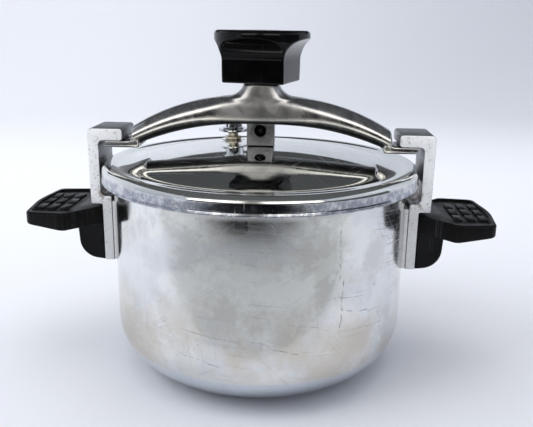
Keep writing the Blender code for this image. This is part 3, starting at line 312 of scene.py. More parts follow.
def slab(name, outline, half, round_r, plane="XY", level=0.0):
    """A filled outline with thickness and rounded edges, lying in XY or standing in XZ."""
    curve = bpy.data.curves.new(name, "CURVE")
    curve.dimensions = "2D"
    curve.fill_mode = "BOTH"
    curve.extrude = half - round_r
    curve.bevel_depth = round_r
    curve.bevel_resolution = 3
    curve.offset = -round_r
    spline = curve.splines.new("POLY")
    spline.points.add(len(outline) - 1)
    for point, (a, b) in zip(spline.points, outline):
        point.co = (a, b, 0.0, 1.0)
    spline.use_cyclic_u = True
    shape = placed(name + "_outline", curve)
    bpy.context.view_layer.update()
    graph = bpy.context.evaluated_depsgraph_get()
    raw = bpy.data.meshes.new_from_object(shape.evaluated_get(graph))
    bpy.data.objects.remove(shape, do_unlink=True)
    work = bmesh.new()
    work.from_mesh(raw)
    bpy.data.meshes.remove(raw)
    bmesh.ops.remove_doubles(work, verts=work.verts, dist=0.000002)
    turn = Matrix.Rotation(math.pi / 2, 4, "X") if plane == "XZ" else Matrix.Translation((0.0, 0.0, level))
    bmesh.ops.transform(work, matrix=turn, verts=work.verts)
    return finish(name, work)


def block(name, low, high, bevel=0.0, segments=3):
    """A box between two corners, with rounded edges."""
    work = bmesh.new()
    bmesh.ops.create_cube(work, size=1.0)
    for vertex in work.verts:
        vertex.co = Vector([(low[i] + high[i]) / 2 + vertex.co[i] * (high[i] - low[i]) for i in range(3)])
    if bevel:
        bmesh.ops.bevel(work, geom=list(work.edges), offset=bevel, segments=segments, profile=0.5,
                        affect="EDGES", clamp_overlap=True)
    return finish(name, work)


def rod(name, radius, start, end, steps=48):
    """A plain round cutter between two points."""
    start, end = Vector(start), Vector(end)
    work = bmesh.new()
    bmesh.ops.create_cone(work, cap_ends=True, segments=steps, radius1=radius, radius2=radius,
                          depth=(end - start).length)
    turn = (end - start).to_track_quat("Z", "Y").to_matrix().to_4x4()
    bmesh.ops.transform(work, matrix=Matrix.Translation((start + end) / 2) @ turn, verts=work.verts)
    return finish(name, work)


def loft(name, rings):
    """Skin equal-count point rings and close both ends."""
    work = bmesh.new()
    rows = [[work.verts.new(point) for point in ring] for ring in rings]
    count = len(rings[0])
    for lower, upper in zip(rows, rows[1:]):
        for k in range(count):
            n = (k + 1) % count
            work.faces.new((lower[k], lower[n], upper[n], upper[k]))
    work.faces.new(rows[0])
    work.faces.new(rows[-1])
    return finish(name, work)


def joined(name, parts):
    """One object that holds the meshes of several."""
    work = bmesh.new()
    for part in parts:
        work.from_mesh(part.data)
        bpy.data.objects.remove(part, do_unlink=True)
    return unchecked(name, work)


def settle(obj, angle=35):
    """Apply a piece's modifiers, so that its mesh is final."""
    graph = bpy.context.evaluated_depsgraph_get()
    mesh = bpy.data.meshes.new_from_object(obj.evaluated_get(graph))
    obj.modifiers.clear()
    obj.data = smoothed(mesh, angle)
    return obj


def carve(obj, tool, operation="DIFFERENCE", angle=35):
    """Apply one Boolean and delete its tool."""
    step = obj.modifiers.new("Carve", "BOOLEAN")
    step.operation = operation
    step.object = tool
    step.solver = "EXACT"
    bpy.context.view_layer.update()
    settle(obj, angle)
    bpy.data.objects.remove(tool, do_unlink=True)
    return obj


def drill(obj, radius, start, end, steps=48, angle=35):
    """Cut a round hole between two points."""
    return carve(obj, rod("cut", radius, start, end, steps), angle=angle)


def soften(obj, width, segments=2, angle=35):
    """Round the edges that are sharper than the angle in degrees."""
    bevel = obj.modifiers.new("Edges", "BEVEL")
    bevel.width = width
    bevel.segments = segments
    bevel.limit_method = "ANGLE"
    bevel.angle_limit = math.radians(angle)
    bevel.harden_normals = False
    return settle(obj, angle)


def turned_half(obj):
    """Turn a right-hand piece half round the pot's axis, to make the left-hand one."""
    obj.data.transform(Matrix.Rotation(math.pi, 4, "Z"))
    return obj


def skin(obj, material):
    """Give an object one material."""
    obj.data.materials.clear()
    obj.data.materials.append(material)


def dress(obj, material, body, slot, *nodes):
    """Give a piece its material and its body, and hide the CAD nodes that it stands for; the slot is not
    used.
    """
    skin(obj, material)
    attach(obj, body)
    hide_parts(*nodes)
    return obj


# ---------------------------------------------------------------- material helpers
NOISE_RANGE = (0.35, 0.65)


class Graph:
    """A Principled material and short calls that add nodes to it."""

    def __init__(self, name, roughness, metallic, **uniform):
        self.material = bpy.data.materials.new(name)
        self.material.use_nodes = True
        self.tree = self.material.node_tree
        self.shader = self.tree.nodes["Principled BSDF"]
        self.shader.inputs["Roughness"].default_value = roughness
        self.shader.inputs["Metallic"].default_value = metallic
        for socket, value in uniform.items():
            self.shader.inputs[socket.replace("_", " ")].default_value = value
        self.place = self.add("ShaderNodeTexCoord").outputs["Object"]

    def add(self, kind, **settings):
        """A new node with its settings."""
        node = self.tree.nodes.new(kind)
        for name, value in settings.items():
            setattr(node, name, value)
        return node

    def feed(self, socket, value):
        """Link a socket to another, or set its number or colour."""
        if isinstance(value, bpy.types.NodeSocket):
            self.tree.links.new(value, socket)
        elif isinstance(value, tuple) and socket.type == "RGBA":
            socket.default_value = (*value, 1.0)
        else:
            socket.default_value = value

    def calc(self, operation, a, b=0.0):
        """A Math node."""
        node = self.add("ShaderNodeMath", operation=operation)
        self.feed(node.inputs[0], a)
        self.feed(node.inputs[1], b)
        return node.outputs[0]

    times = partialmethod(calc, "MULTIPLY")
    plus = partialmethod(calc, "ADD")
    minus = partialmethod(calc, "SUBTRACT")
    size = partialmethod(calc, "ABSOLUTE")

    def scaled(self, scale, turn=0.0, shift=(0.0, 0.0, 0.0), source=None):
        """Coordinates turned about Z, then stretched."""
        spin = self.add("ShaderNodeMapping")
        self.feed(spin.inputs["Vector"], source or self.place)
        spin.inputs["Rotation"].default_value = (0.0, 0.0, math.radians(turn))
        stretch = self.add("ShaderNodeMapping")
        self.feed(stretch.inputs["Vector"], spin.outputs[0])
        stretch.inputs["Scale"].default_value = scale
        stretch.inputs["Location"].default_value = shift
        return stretch.outputs[0]

    def wrapped(self, radius):
        """Coordinates unrolled round the Z axis: (arc length, height, 0)."""
        split = self.add("ShaderNodeSeparateXYZ")
        self.feed(split.inputs[0], self.place)
        turn = self.calc("ARCTAN2", split.outputs[1], split.outputs[0])
        join = self.add("ShaderNodeCombineXYZ")
        self.feed(join.inputs[0], self.times(turn, radius))
        self.feed(join.inputs[1], split.outputs[2])
        return join.outputs[0]

    def axis(self, index, source=None):
        """One coordinate."""
        split = self.add("ShaderNodeSeparateXYZ")
        self.feed(split.inputs[0], source or self.place)
        return split.outputs[index]

    def noise(self, scale, detail=3.0, rough=0.5, vector=None, warp=0.0):
        """A noise value of about 0.3 to 0.7."""
        node = self.add("ShaderNodeTexNoise")
        self.feed(node.inputs["Vector"], vector or self.place)
        node.inputs["Scale"].default_value = scale
        node.inputs["Detail"].default_value = detail
        node.inputs["Roughness"].default_value = rough
        node.inputs["Distortion"].default_value = warp
        return node.outputs["Fac"]

    def cells(self, scale, vector=None, feature="F1"):
        """Distance to the nearest of a scatter of points."""
        node = self.add("ShaderNodeTexVoronoi", feature=feature)
        self.feed(node.inputs["Vector"], vector or self.place)
        node.inputs["Scale"].default_value = scale
        return node.outputs["Distance"]

    def step(self, value, low, high, out_low=0.0, out_high=1.0):
        """Map a range smoothly on to another."""
        node = self.add("ShaderNodeMapRange", interpolation_type="SMOOTHSTEP")
        self.feed(node.inputs["Value"], value)
        ends = {"From Min": low, "From Max": high, "To Min": out_low, "To Max": out_high}
        for name, number in ends.items():
            self.feed(node.inputs[name], number)
        return node.outputs[0]

    def mix(self, factor, a, b, blend="MIX"):
        """Mix two colours."""
        node = self.add("ShaderNodeMix", data_type="RGBA", blend_type=blend)
        self.feed(node.inputs[0], factor)
        self.feed(node.inputs[6], a)
        self.feed(node.inputs[7], b)
        return node.outputs[2]

    def spread(self, cloud, low, high):
        """Map a noise's usual range on to two colours or two numbers."""
        if isinstance(low, tuple):
            return self.mix(self.step(cloud, *NOISE_RANGE), low, high)
        return self.step(cloud, *NOISE_RANGE, low, high)

    def tint(self, colour, where, share, other):
        """Take a colour a share of the way to another, where a value is 1."""
        return self.mix(self.times(where, share), colour, other)

    def more(self, value, where, amount):
        """Raise a value by an amount, where another is 1."""
        return self.plus(value, self.times(where, amount))

    def specks(self, scale, far, near, patches, low, high):
        """Small round specks round scattered points, only inside patches of a noise."""
        spots = self.step(self.cells(scale), far, near)
        return self.times(spots, self.step(patches, low, high))

    def scratches(self, vector, turn, along, across, share, shift=0.0, breakup=60.0):
        """Fine straight scratches at one angle: 1 on a scratch and 0 off it."""
        lines = self.noise(1.0, 1.0, 0.4, self.scaled((along, across, 1.0), turn, (shift, shift * 1.7, 0.0),
                                                      vector))
        cut = self.step(lines, share, share + 0.03)
        patchy = self.step(self.noise(breakup, 1.0, 0.5, vector), 0.48, 0.6)
        return self.times(cut, patchy)

    def stroke(self, vector, start, end, width, breakup=200.0):
        """1 along one wavering scratch between two points, and 0 off it."""
        start, run = Vector(start), Vector(end) - Vector(start)
        local = self.add("ShaderNodeMapping", vector_type="TEXTURE")
        self.feed(local.inputs["Vector"], vector)
        local.inputs["Location"].default_value = (*start, 0.0)
        local.inputs["Rotation"].default_value = (0.0, 0.0, math.atan2(run.y, run.x))
        along = self.axis(0, local.outputs[0])
        waver = self.times(self.minus(self.noise(70.0, 2.0, 0.5, vector), 0.5), 0.006)
        off = self.size(self.plus(self.axis(1, local.outputs[0]), waver))
        on = self.step(off, width, width * 0.3)
        on = self.times(on, self.step(along, -0.001, 0.002))
        on = self.times(on, self.step(along, run.length + 0.001, run.length - 0.002))
        return self.times(on, self.step(self.noise(breakup, 2.0, 0.6, vector), 0.40, 0.52))

    def most(self, *values):
        """The largest of several values."""
        found = values[0]
        for value in values[1:]:
            found = self.calc("MAXIMUM", found, value)
        return found

    def bump(self, height, distance, strength=1.0, after=None):
        """Tilt the surface by a height in the range 0 to 1, of the given distance in metres."""
        node = self.add("ShaderNodeBump")
        node.inputs["Strength"].default_value = strength
        node.inputs["Distance"].default_value = distance
        self.feed(node.inputs["Height"], height)
        if after is not None:
            self.feed(node.inputs["Normal"], after)
        return node.outputs[0]

    def done(self, colour, roughness=None, normal=None):
        """Link the results to the shader and return the material."""
        self.feed(self.shader.inputs["Base Color"], colour)
        if roughness is not None:
            self.feed(self.shader.inputs["Roughness"], roughness)
        if normal is not None:
            self.feed(self.shader.inputs["Normal"], normal)
        return self.material


# ---------------------------------------------------------------- materials
# scratches on the pot: start and end as (arc length, height), then half width
POT_GOUGES = (((-0.1130, 0.134), (-0.1115, 0.098), 0.0006), ((-0.1085, 0.100), (-0.1105, 0.062), 0.0006),
              ((-0.1215, 0.088), (-0.0930, 0.083), 0.0004), ((-0.1060, 0.076), (-0.0790, 0.070), 0.0004),
              ((-0.1720, 0.061), (-0.1390, 0.051), 0.0003), ((-0.1480, 0.072), (-0.1190, 0.066), 0.0003),
              ((-0.2210, 0.046), (-0.1910, 0.041), 0.0003), ((-0.0730, 0.068), (-0.0690, 0.052), 0.0004))


def pot_metal():
    """Polished aluminium after years of use: water marks, stains, fine scratches and pits, and painted shade
    darkening the bottom corner.
    """
    g = Graph("pot_aluminium", 0.2, 1.0)
    wall = g.wrapped(POT_R)
    height = g.axis(2)
    cloud = g.noise(34.0, 6.0, 0.66)
    flatter = g.scaled((1.0, 1.0, 1.2), shift=(3.4, 1.2, 0.4))
    blue = g.step(g.noise(19.0, 4.0, 0.5, flatter, 0.3), 0.535, 0.545)
    taller = g.scaled((1.0, 1.0, 0.7), shift=(9.3, 4.2, 2.4))
    milky = g.step(g.noise(44.0, 5.0, 0.6, taller, 0.3), 0.54, 0.56)
    moved = g.scaled((1.0, 1.0, 1.0), shift=(7.7, 2.9, 5.1))
    warm = g.step(g.noise(16.0, 6.0, 0.66, moved), 0.36, 0.60)
    low = g.times(g.step(height, 0.096, 0.050), g.step(height, 0.024, 0.031))
    colour = g.mix(g.step(cloud, 0.40, 0.60), (0.64, 0.64, 0.63), (0.82, 0.825, 0.82))
    colour = g.tint(colour, milky, 0.28, (0.86, 0.865, 0.84))
    colour = g.tint(colour, blue, 0.40, (0.72, 0.75, 0.80))
    colour = g.mix(g.times(warm, g.times(low, 0.95)), colour, (0.62, 0.575, 0.51))
    # A bluish band round the lower corner, then painted shade: darker towards the bottom, where the corner
    # reflects the floor shaded by the pot.
    colour = g.mix(g.step(height, 0.0285, 0.0265, 0.0, 0.65), colour, (0.60, 0.65, 0.73))
    colour = g.mix(g.step(height, 0.022, 0.006, 0.0, 0.7), colour, (0.34, 0.35, 0.38))
    grain = g.noise(1.0, 2.0, 0.6, g.scaled((14.0, 2600.0, 1.0), source=wall))
    sets = ((6.0, 7.0, 1300.0, 0.665, 1.0, 26.0), (-31.0, 9.0, 1500.0, 0.68, 5.0, 31.0),
            (48.0, 11.0, 1500.0, 0.685, 9.0, 28.0), (83.0, 8.0, 1200.0, 0.69, 13.0, 33.0))
    lines = g.most(*[g.scratches(wall, *one) for one in sets])
    gouges = g.most(*[g.stroke(wall, start, end, width) for start, end, width in POT_GOUGES])
    pits = g.specks(430.0, 0.15, 0.07, g.noise(46.0, 3.0, 0.6), 0.54, 0.64)
    nicks = g.step(g.noise(1.0, 2.0, 0.5, g.scaled((160.0, 420.0, 1.0), 24.0, source=wall)), 0.72, 0.76)
    marks = g.most(g.times(lines, 0.38), g.times(gouges, 0.60), g.times(pits, 0.8), g.times(nicks, 0.35))
    colour = g.mix(marks, colour, (0.22, 0.21, 0.22))
    rough = g.step(cloud, 0.38, 0.62, 0.10, 0.17)
    rough = g.more(rough, g.most(blue, milky), 0.05)
    rough = g.more(rough, marks, 0.25)
    normal = g.bump(grain, 0.00001, 0.5)
    normal = g.bump(g.noise(48.0, 2.0, 0.5), 0.00008, 0.2, normal)
    normal = g.bump(g.times(marks, -1.0), 0.00008, 0.6, normal)
    return g.done(colour, rough, normal)


def lid_metal():
    """Mirror-polished aluminium with hairline scratches and a little dust, and painted shade on the skirt."""
    g = Graph("lid_aluminium", 0.06, 1.0)
    cloud = g.noise(26.0, 4.0, 0.6, warp=0.5)
    outward = g.step(g.axis(2), RIM_TOP_Z - 0.0025, RIM_TOP_Z - 0.006)
    colour = g.spread(cloud, (0.75, 0.77, 0.745), (0.84, 0.855, 0.83))
    # Painted shade: the skirt below the rolled edge is given a dark bluish mottled colour, standing in for
    # the dark room that it reflects.
    side = g.mix(g.step(g.noise(170.0, 6.0, 0.72), 0.44, 0.62), (0.30, 0.32, 0.37), (0.60, 0.61, 0.64))
    colour = g.mix(outward, colour, side)
    sets = ((12.0, 12.0, 1700.0, 0.70, 2.0, 34.0), (63.0, 14.0, 1500.0, 0.71, 6.0, 38.0),
            (118.0, 13.0, 1500.0, 0.71, 11.0, 30.0), (155.0, 12.0, 1600.0, 0.71, 17.0, 36.0))
    lines = g.most(*[g.scratches(None, *one) for one in sets])
    dust = g.specks(470.0, 0.12, 0.06, g.noise(60.0, 2.0, 0.6), 0.50, 0.60)
    colour = g.tint(colour, lines, 0.25, (0.40, 0.40, 0.39))
    colour = g.tint(colour, dust, 0.5, (0.60, 0.59, 0.56))
    rough = g.spread(cloud, 0.025, 0.07)
    rough = g.more(rough, outward, 0.10)
    rough = g.more(rough, g.most(lines, dust), 0.25)
    normal = g.bump(g.noise(60.0, 2.0, 0.5), 0.00003, 0.3)
    normal = g.bump(g.most(lines, dust), 0.00002, 0.4, normal)
    return g.done(colour, rough, normal)


def cast_metal():
    """Satin cast aluminium with casting pores, darker and rougher across the middle, and painted shade on the
    faces that look down.
    """
    g = Graph("yoke_cast_aluminium", 0.3, 1.0)
    facing = g.add("ShaderNodeTexCoord").outputs["Normal"]
    shaded_underside = g.step(g.axis(2, facing), -0.35, -0.72)
    cloud = g.noise(70.0, 5.0, 0.62, warp=0.5)
    fine = g.noise(700.0, 3.0, 0.6)
    middle = g.step(g.size(g.axis(0)), 0.036, 0.022)
    colour = g.spread(cloud, (0.45, 0.45, 0.46), (0.64, 0.635, 0.63))
    colour = g.tint(colour, middle, 0.4, (0.40, 0.405, 0.42))
    pores = g.specks(700.0, 0.22, 0.10, g.noise(80.0, 3.0, 0.6), 0.50, 0.62)
    colour = g.tint(colour, pores, 0.7, (0.16, 0.15, 0.15))
    # Painted shade: faces that look down are darkened almost to black, as though in shadow.
    colour = g.tint(colour, shaded_underside, 0.85, (0.055, 0.055, 0.06))
    rough = g.spread(cloud, 0.16, 0.26)
    rough = g.more(rough, g.most(shaded_underside, middle), 0.12)
    normal = g.bump(fine, 0.00005, 0.35)
    normal = g.bump(g.times(pores, -1.0), 0.0001, 0.6, normal)
    return g.done(colour, rough, normal)


def bracket_metal():
    """Extruded aluminium: drawn sides with painted light on their upward faces, whitish sawn ends with pits,
    and a brown darkening along the inner ledge.
    """
    g = Graph("bracket_aluminium", 0.42, 1.0)
    facing = g.add("ShaderNodeTexCoord").outputs["Normal"]
    ends = g.step(g.size(g.axis(1, facing)), 0.6, 0.9)
    painted_top_light = g.step(g.axis(2, facing), 0.5, 0.9)
    cloud = g.noise(420.0, 6.0, 0.70, warp=0.3)
    fine = g.noise(620.0, 4.0, 0.65)
    drawn = g.noise(1.0, 2.0, 0.6, g.scaled((1500.0, 12.0, 1500.0)))
    side = g.spread(drawn, (0.30, 0.30, 0.32), (0.44, 0.44, 0.46))
    # Painted light: the drawn faces that look up are made paler, as though lit from above.
    side = g.mix(g.times(painted_top_light, 0.7), side, (0.50, 0.52, 0.54))
    front = g.mix(g.step(cloud, 0.34, 0.46), (0.60, 0.595, 0.59), (0.96, 0.96, 0.955))
    foot = g.step(g.axis(2), LEDGE_Z + 0.002, LEDGE_Z - 0.008)
    front = g.mix(g.times(foot, 0.45), front, (0.50, 0.50, 0.52))
    colour = g.mix(ends, side, front)
    pits = g.specks(1100.0, 0.24, 0.12, fine, 0.50, 0.60)
    colour = g.mix(g.times(pits, g.step(ends, 0.0, 1.0, 0.35, 0.8)), colour, (0.22, 0.20, 0.19))
    # A brown, patchy darkening on the inner face just above the ledge.
    inside = g.step(g.size(g.axis(0)), LID_R + 0.0042, LID_R + 0.0018)
    near_ledge = g.step(g.size(g.minus(g.axis(2), LEDGE_Z + 0.003)), 0.009, 0.003)
    ledge_darkening = g.times(g.times(inside, near_ledge), g.step(g.noise(170.0, 4.0, 0.6), 0.42, 0.58))
    colour = g.tint(colour, ledge_darkening, 0.8, (0.17, 0.11, 0.065))
    g.feed(g.shader.inputs["Metallic"], g.step(ends, 0.0, 1.0, 1.0, 0.15))
    rough = g.spread(cloud, 0.36, 0.50)
    normal = g.bump(fine, 0.00012, 0.5)
    normal = g.bump(drawn, 0.00001, 0.4, normal)
    return g.done(colour, rough, normal)


def post_metal():
    """Dark steel of the guide post, with painted shade: the inside of its window is painted near-black."""
    g = Graph("post_steel", 0.4, 1.0)
    cloud = g.noise(160.0, 4.0, 0.6, warp=0.5)
    colour = g.spread(cloud, (0.11, 0.115, 0.125), (0.20, 0.205, 0.215))
    across = g.axis(0)
    up = g.minus(g.axis(2), POST_WINDOW_Z)
    off = g.calc("SQRT", g.plus(g.times(across, across), g.times(up, up)))
    inside = g.step(g.axis(1), POST_LOW.y + 0.0001, POST_LOW.y + 0.0006)
    # Painted shade: the inside of the round window is made near-black and rougher, as a dark hole.
    window = g.times(g.step(off, POST_HOLE_R + 0.0004, POST_HOLE_R + 0.0001), inside)
    colour = g.mix(window, colour, (0.004, 0.004, 0.004))
    rough = g.plus(g.spread(cloud, 0.32, 0.46), g.times(window, 0.4))
    return g.done(colour, rough, g.bump(g.noise(900.0, 3.0, 0.6), 0.00002, 0.5))


def bakelite(name, low_rough, high_rough, tint, wear, specular):
    """Black moulded phenolic with faint swirls, dust and rubbed patches."""
    g = Graph(name, low_rough, 0.0, Specular_IOR_Level=specular)
    cloud = g.noise(60.0, 4.0, 0.6, warp=0.8)
    fine = g.noise(900.0, 2.0, 0.5)
    lines = g.most(g.scratches(None, 15.0, 20.0, 2400.0, 0.70, 3.0),
                   g.scratches(None, 75.0, 26.0, 2200.0, 0.71, 8.0))
    dust = g.specks(900.0, 0.11, 0.05, g.noise(80.0), 0.54, 0.64)
    colour = g.spread(cloud, (tint * 0.5, tint * 0.52, tint * 0.6), (tint, tint * 1.02, tint * 1.1))
    marks = g.most(g.times(lines, wear), g.times(dust, wear))
    colour = g.mix(marks, colour, (0.16, 0.16, 0.165))
    rough = g.step(cloud, 0.3, 0.7, low_rough, high_rough)
    rough = g.more(rough, marks, 0.3)
    normal = g.bump(fine, 0.00002, 0.25)
    normal = g.bump(marks, 0.00003, 0.4, normal)
    return g.done(colour, rough, normal)


def plain_metal(name, dark, light, low_rough, high_rough, grain=(30.0, 30.0, 1800.0), size=160.0):
    """Turned or drawn metal with a cloudy tarnish, tool lines and small marks."""
    g = Graph(name, low_rough, 1.0)
    cloud = g.noise(size, 4.0, 0.6, warp=0.5)
    tooled = g.noise(1.0, 2.0, 0.6, g.scaled(grain))
    marks = g.specks(900.0, 0.2, 0.08, g.noise(150.0), 0.50, 0.60)
    colour = g.spread(cloud, dark, light)
    colour = g.mix(g.times(marks, 0.6), colour, tuple(0.4 * c for c in dark))
    rough = g.spread(cloud, low_rough, high_rough)
    normal = g.bump(tooled, 0.00001, 0.5)
    return g.done(colour, rough, normal)


def rubber():
    """Matt black rubber with a faint bloom."""
    g = Graph("black_rubber", 0.8, 0.0)
    bloom = g.noise(120.0, 4.0, 0.6)
    colour = g.mix(g.step(bloom, 0.4, 0.7), (0.018, 0.018, 0.019), (0.045, 0.044, 0.043))
    rough = g.step(bloom, 0.3, 0.7, 0.7, 0.9)
    return g.done(colour, rough, g.bump(g.noise(1500.0, 2.0, 0.6), 0.00003, 0.5))


# ---------------------------------------------------------------- pot and lid
def rivet_spots():
    """(y, z) of each rivet in a bracket's foot."""
    upper = FOOT_Z + RIVET_UPPER
    return (-RIVET_SPREAD, upper), (RIVET_SPREAD, upper), (0.0, FOOT_Z + RIVET_LOWER)


def pot():
    """The spun pot with its wall, rounded bottom corner and outward rim."""
    top = POT_HIGH.z
    inside = POT_R - POT_WALL
    corner = (POT_R - POT_CORNER_R, POT_CORNER_H)
    rows = [(0.02 * k, POT_FLOOR) for k in range(3)]
    rows += arc(corner, (POT_CORNER_R - POT_WALL, POT_CORNER_H - POT_FLOOR), -90, 0, 24)
    rows += [(inside, 0.02 * k) for k in range(3, 8)]
    rim = [(inside, 0.145, 0.0), (inside, top, 0.0009), (FLANGE_R, top, WIDE_EDGE),
           (FLANGE_R, top - FLANGE_T, WIDE_EDGE), (POT_R, top - FLANGE_T, 0.0015), (POT_R, 0.140, 0.0)]
    rows += rounded(rim, 5)
    rows += [(POT_R, 0.01 * k) for k in range(13, 4, -1)]
    rows += arc(corner, (POT_CORNER_R, POT_CORNER_H), 0, -90, 40)
    rows += [(r, 0.0) for r in (0.04, 0.02, 0.0)]
    piece = polar("pot", rows, 256)
    for _, sign in SIDES:
        for y, z in rivet_spots():
            drill(piece, RIVET_HOLE_R, (sign * 0.10, y, z), (sign * 0.12, y, z), 24)
    return piece


def dome_z(radius):
    """Height of the lid's outer face on its dome."""
    return DOME_TOP_Z - (DOME_SPHERE - math.sqrt(DOME_SPHERE ** 2 - radius ** 2))


def seat_top(spot):
    """Height of the raised seat under a valve."""
    return dome_z(math.hypot(*spot)) + SEAT_RISE


def hermite(x, x0, y0, slope0, x1, y1, slope1):
    """A cubic between two points with the given slopes."""
    span = x1 - x0
    t = (x - x0) / span
    return ((2 * t ** 3 - 3 * t ** 2 + 1) * y0 + (t ** 3 - 2 * t ** 2 + t) * span * slope0
            + (3 * t ** 2 - 2 * t ** 3) * y1 + (t ** 3 - t ** 2) * span * slope1)


def lid_top():
    """(radius, height) of the lid's outer face from its centre to the top of its rolled edge."""
    edge_z = dome_z(DOME_R)
    slope = -DOME_R / math.sqrt(DOME_SPHERE ** 2 - DOME_R ** 2)
    rows = [(DOME_R * k / 40, dome_z(DOME_R * k / 40)) for k in range(2, 41)]
    banks = ((DOME_R, edge_z, slope, TROUGH_R, TROUGH_Z, 0.0),
             (TROUGH_R, TROUGH_Z, 0.0, ROLL_R, RIM_TOP_Z, 0.0))
    for bank in banks:
        for k in range(1, 13):
            radius = bank[0] + (bank[3] - bank[0]) * k / 12
            rows.append((radius, hermite(radius, *bank)))
    return rows


def lid():
    """Domed lid with a trough, a rolled edge, a skirt and seats for the two valves."""
    hole_r = 0.0033
    top = [(hole_r, dome_z(hole_r))] + lid_top()
    roll = (ROLL_R, RIM_TOP_Z - RIM_ROUND)
    side = arc(roll, (RIM_ROUND, RIM_ROUND), 90, 0, 20)[1:]
    side += [(LID_R, SKIRT_Z + 0.0035), (LID_R, SKIRT_Z + 0.0020), (LID_R + 0.00025, SKIRT_Z + 0.0016),
             (LID_R + 0.0005, SKIRT_Z + 0.0012), (LID_R + 0.0005, SKIRT_Z + 0.0006),
             (LID_R + 0.0003, SKIRT_Z + 0.0002), (LID_R, SKIRT_Z), (LID_R - LID_T + 0.0003, SKIRT_Z),
             (LID_R - LID_T, SKIRT_Z + 0.0003)]
    inner = arc(roll, (RIM_ROUND - LID_T, RIM_ROUND - LID_T), 0, 90, 10)
    under = [(r, z - LID_T) for r, z in reversed(top[:-1:2])]
    piece = polar("lid_shell", top + side + inner + under, 256, ring=True)
    for (x, y), bore in ((VALVE_SPOT, 0.0044), (SAFETY_SPOT, 0.0052)):
        seat_z = seat_top((x, y))
        low = seat_z - SEAT_T
        corners = [(0.0, seat_z, 0.0), (SEAT_R, seat_z, 0.0005), (SEAT_R, low, 0.0), (0.0, low, 0.0)]
        seat = spun("seat", corners, 64, (x, y))
        carve(piece, seat, "UNION")
        drill(piece, bore, (x, y, seat_z - 2 * CUT_OVER), (x, y, seat_z + CUT_OVER))
    return piece


# ---------------------------------------------------------------- brackets and handles
def bracket(sign, name):
    """S-shaped bracket with rounded corners, countersunk for its rivets."""
    post_in = LID_R + POST_SIDE_GAP
    post_out = post_in + BRACKET_T
    foot_in = BRACKET_FOOT_X
    foot_out = foot_in + FOOT_T
    step = LEDGE_Z - STEP_DROP
    top = BRACKET_HIGH.z
    under_hook = top - HOOK_T
    corners = [(foot_in, FOOT_Z, WIDE_EDGE), (foot_out, FOOT_Z, WIDE_EDGE), (foot_out, step, 0.001),
               (post_out, step, 0.0012), (post_out, top, 0.0035), (BRACKET_TIP_X, top, 0.0022),
               (BRACKET_TIP_X, under_hook, 0.0022), (post_in, under_hook, 0.0030), (post_in, LEDGE_Z, 0.0040),
               (foot_in, LEDGE_Z, 0.0015)]
    piece = slab(name, rounded(corners, 6), HALF_BRACKET, 0.0007, "XZ")
    through = (0.10, 0.13)
    for y, z in rivet_spots():
        drill(piece, RIVET_HOLE_R, (through[0], y, z), (through[1], y, z), 32)
        sink = spun("cut", [(0.0, 0.002, 0.0), (RIVET_SINK_R, 0.002, 0.0), (RIVET_SINK_R, 0.0, 0.0),
                            (RIVET_HOLE_R, -RIVET_SINK_DEPTH, 0.0), (0.0, -RIVET_SINK_DEPTH, 0.0)], 32)
        sink.data.transform(Matrix.Translation((foot_out, y, z)) @ Matrix.Rotation(math.pi / 2, 4, "Y"))
        carve(piece, sink)
    drill(piece, RIVET_HOLE_R, (through[0], 0.0, SCREW_HOLE_Z), (through[1], 0.0, SCREW_HOLE_Z), 32)
    return piece if sign > 0 else turned_half(piece)


def grip_outline(inset=0.0, start=0.0):
    """Plan outline of a grip: narrow at the bracket, wide across the middle, round outside."""
    inner = HANDLE_LOW.x
    end = inner + HANDLE_LENGTH - inset
    wide = inner + GRIP_WIDE_X
    half = HANDLE_W / 2 - inset
    near = [(inner, HALF_BRACKET, 0.0), (inner + 0.005, HALF_BRACKET + 0.0022, 0.004), (wide, half, 0.007)]
    if start:
        near = [(inner + start, half - 0.006, 0.0015), (wide + 0.0005, half, 0.004)]
    upper = near + [(end - 0.0048, half - 0.0032, 0.006), (end, 0.0, 0.09)]
    lower = [(x, -y, radius) for x, y, radius in reversed(upper[:-1])]
    return rounded(upper + lower, 8)


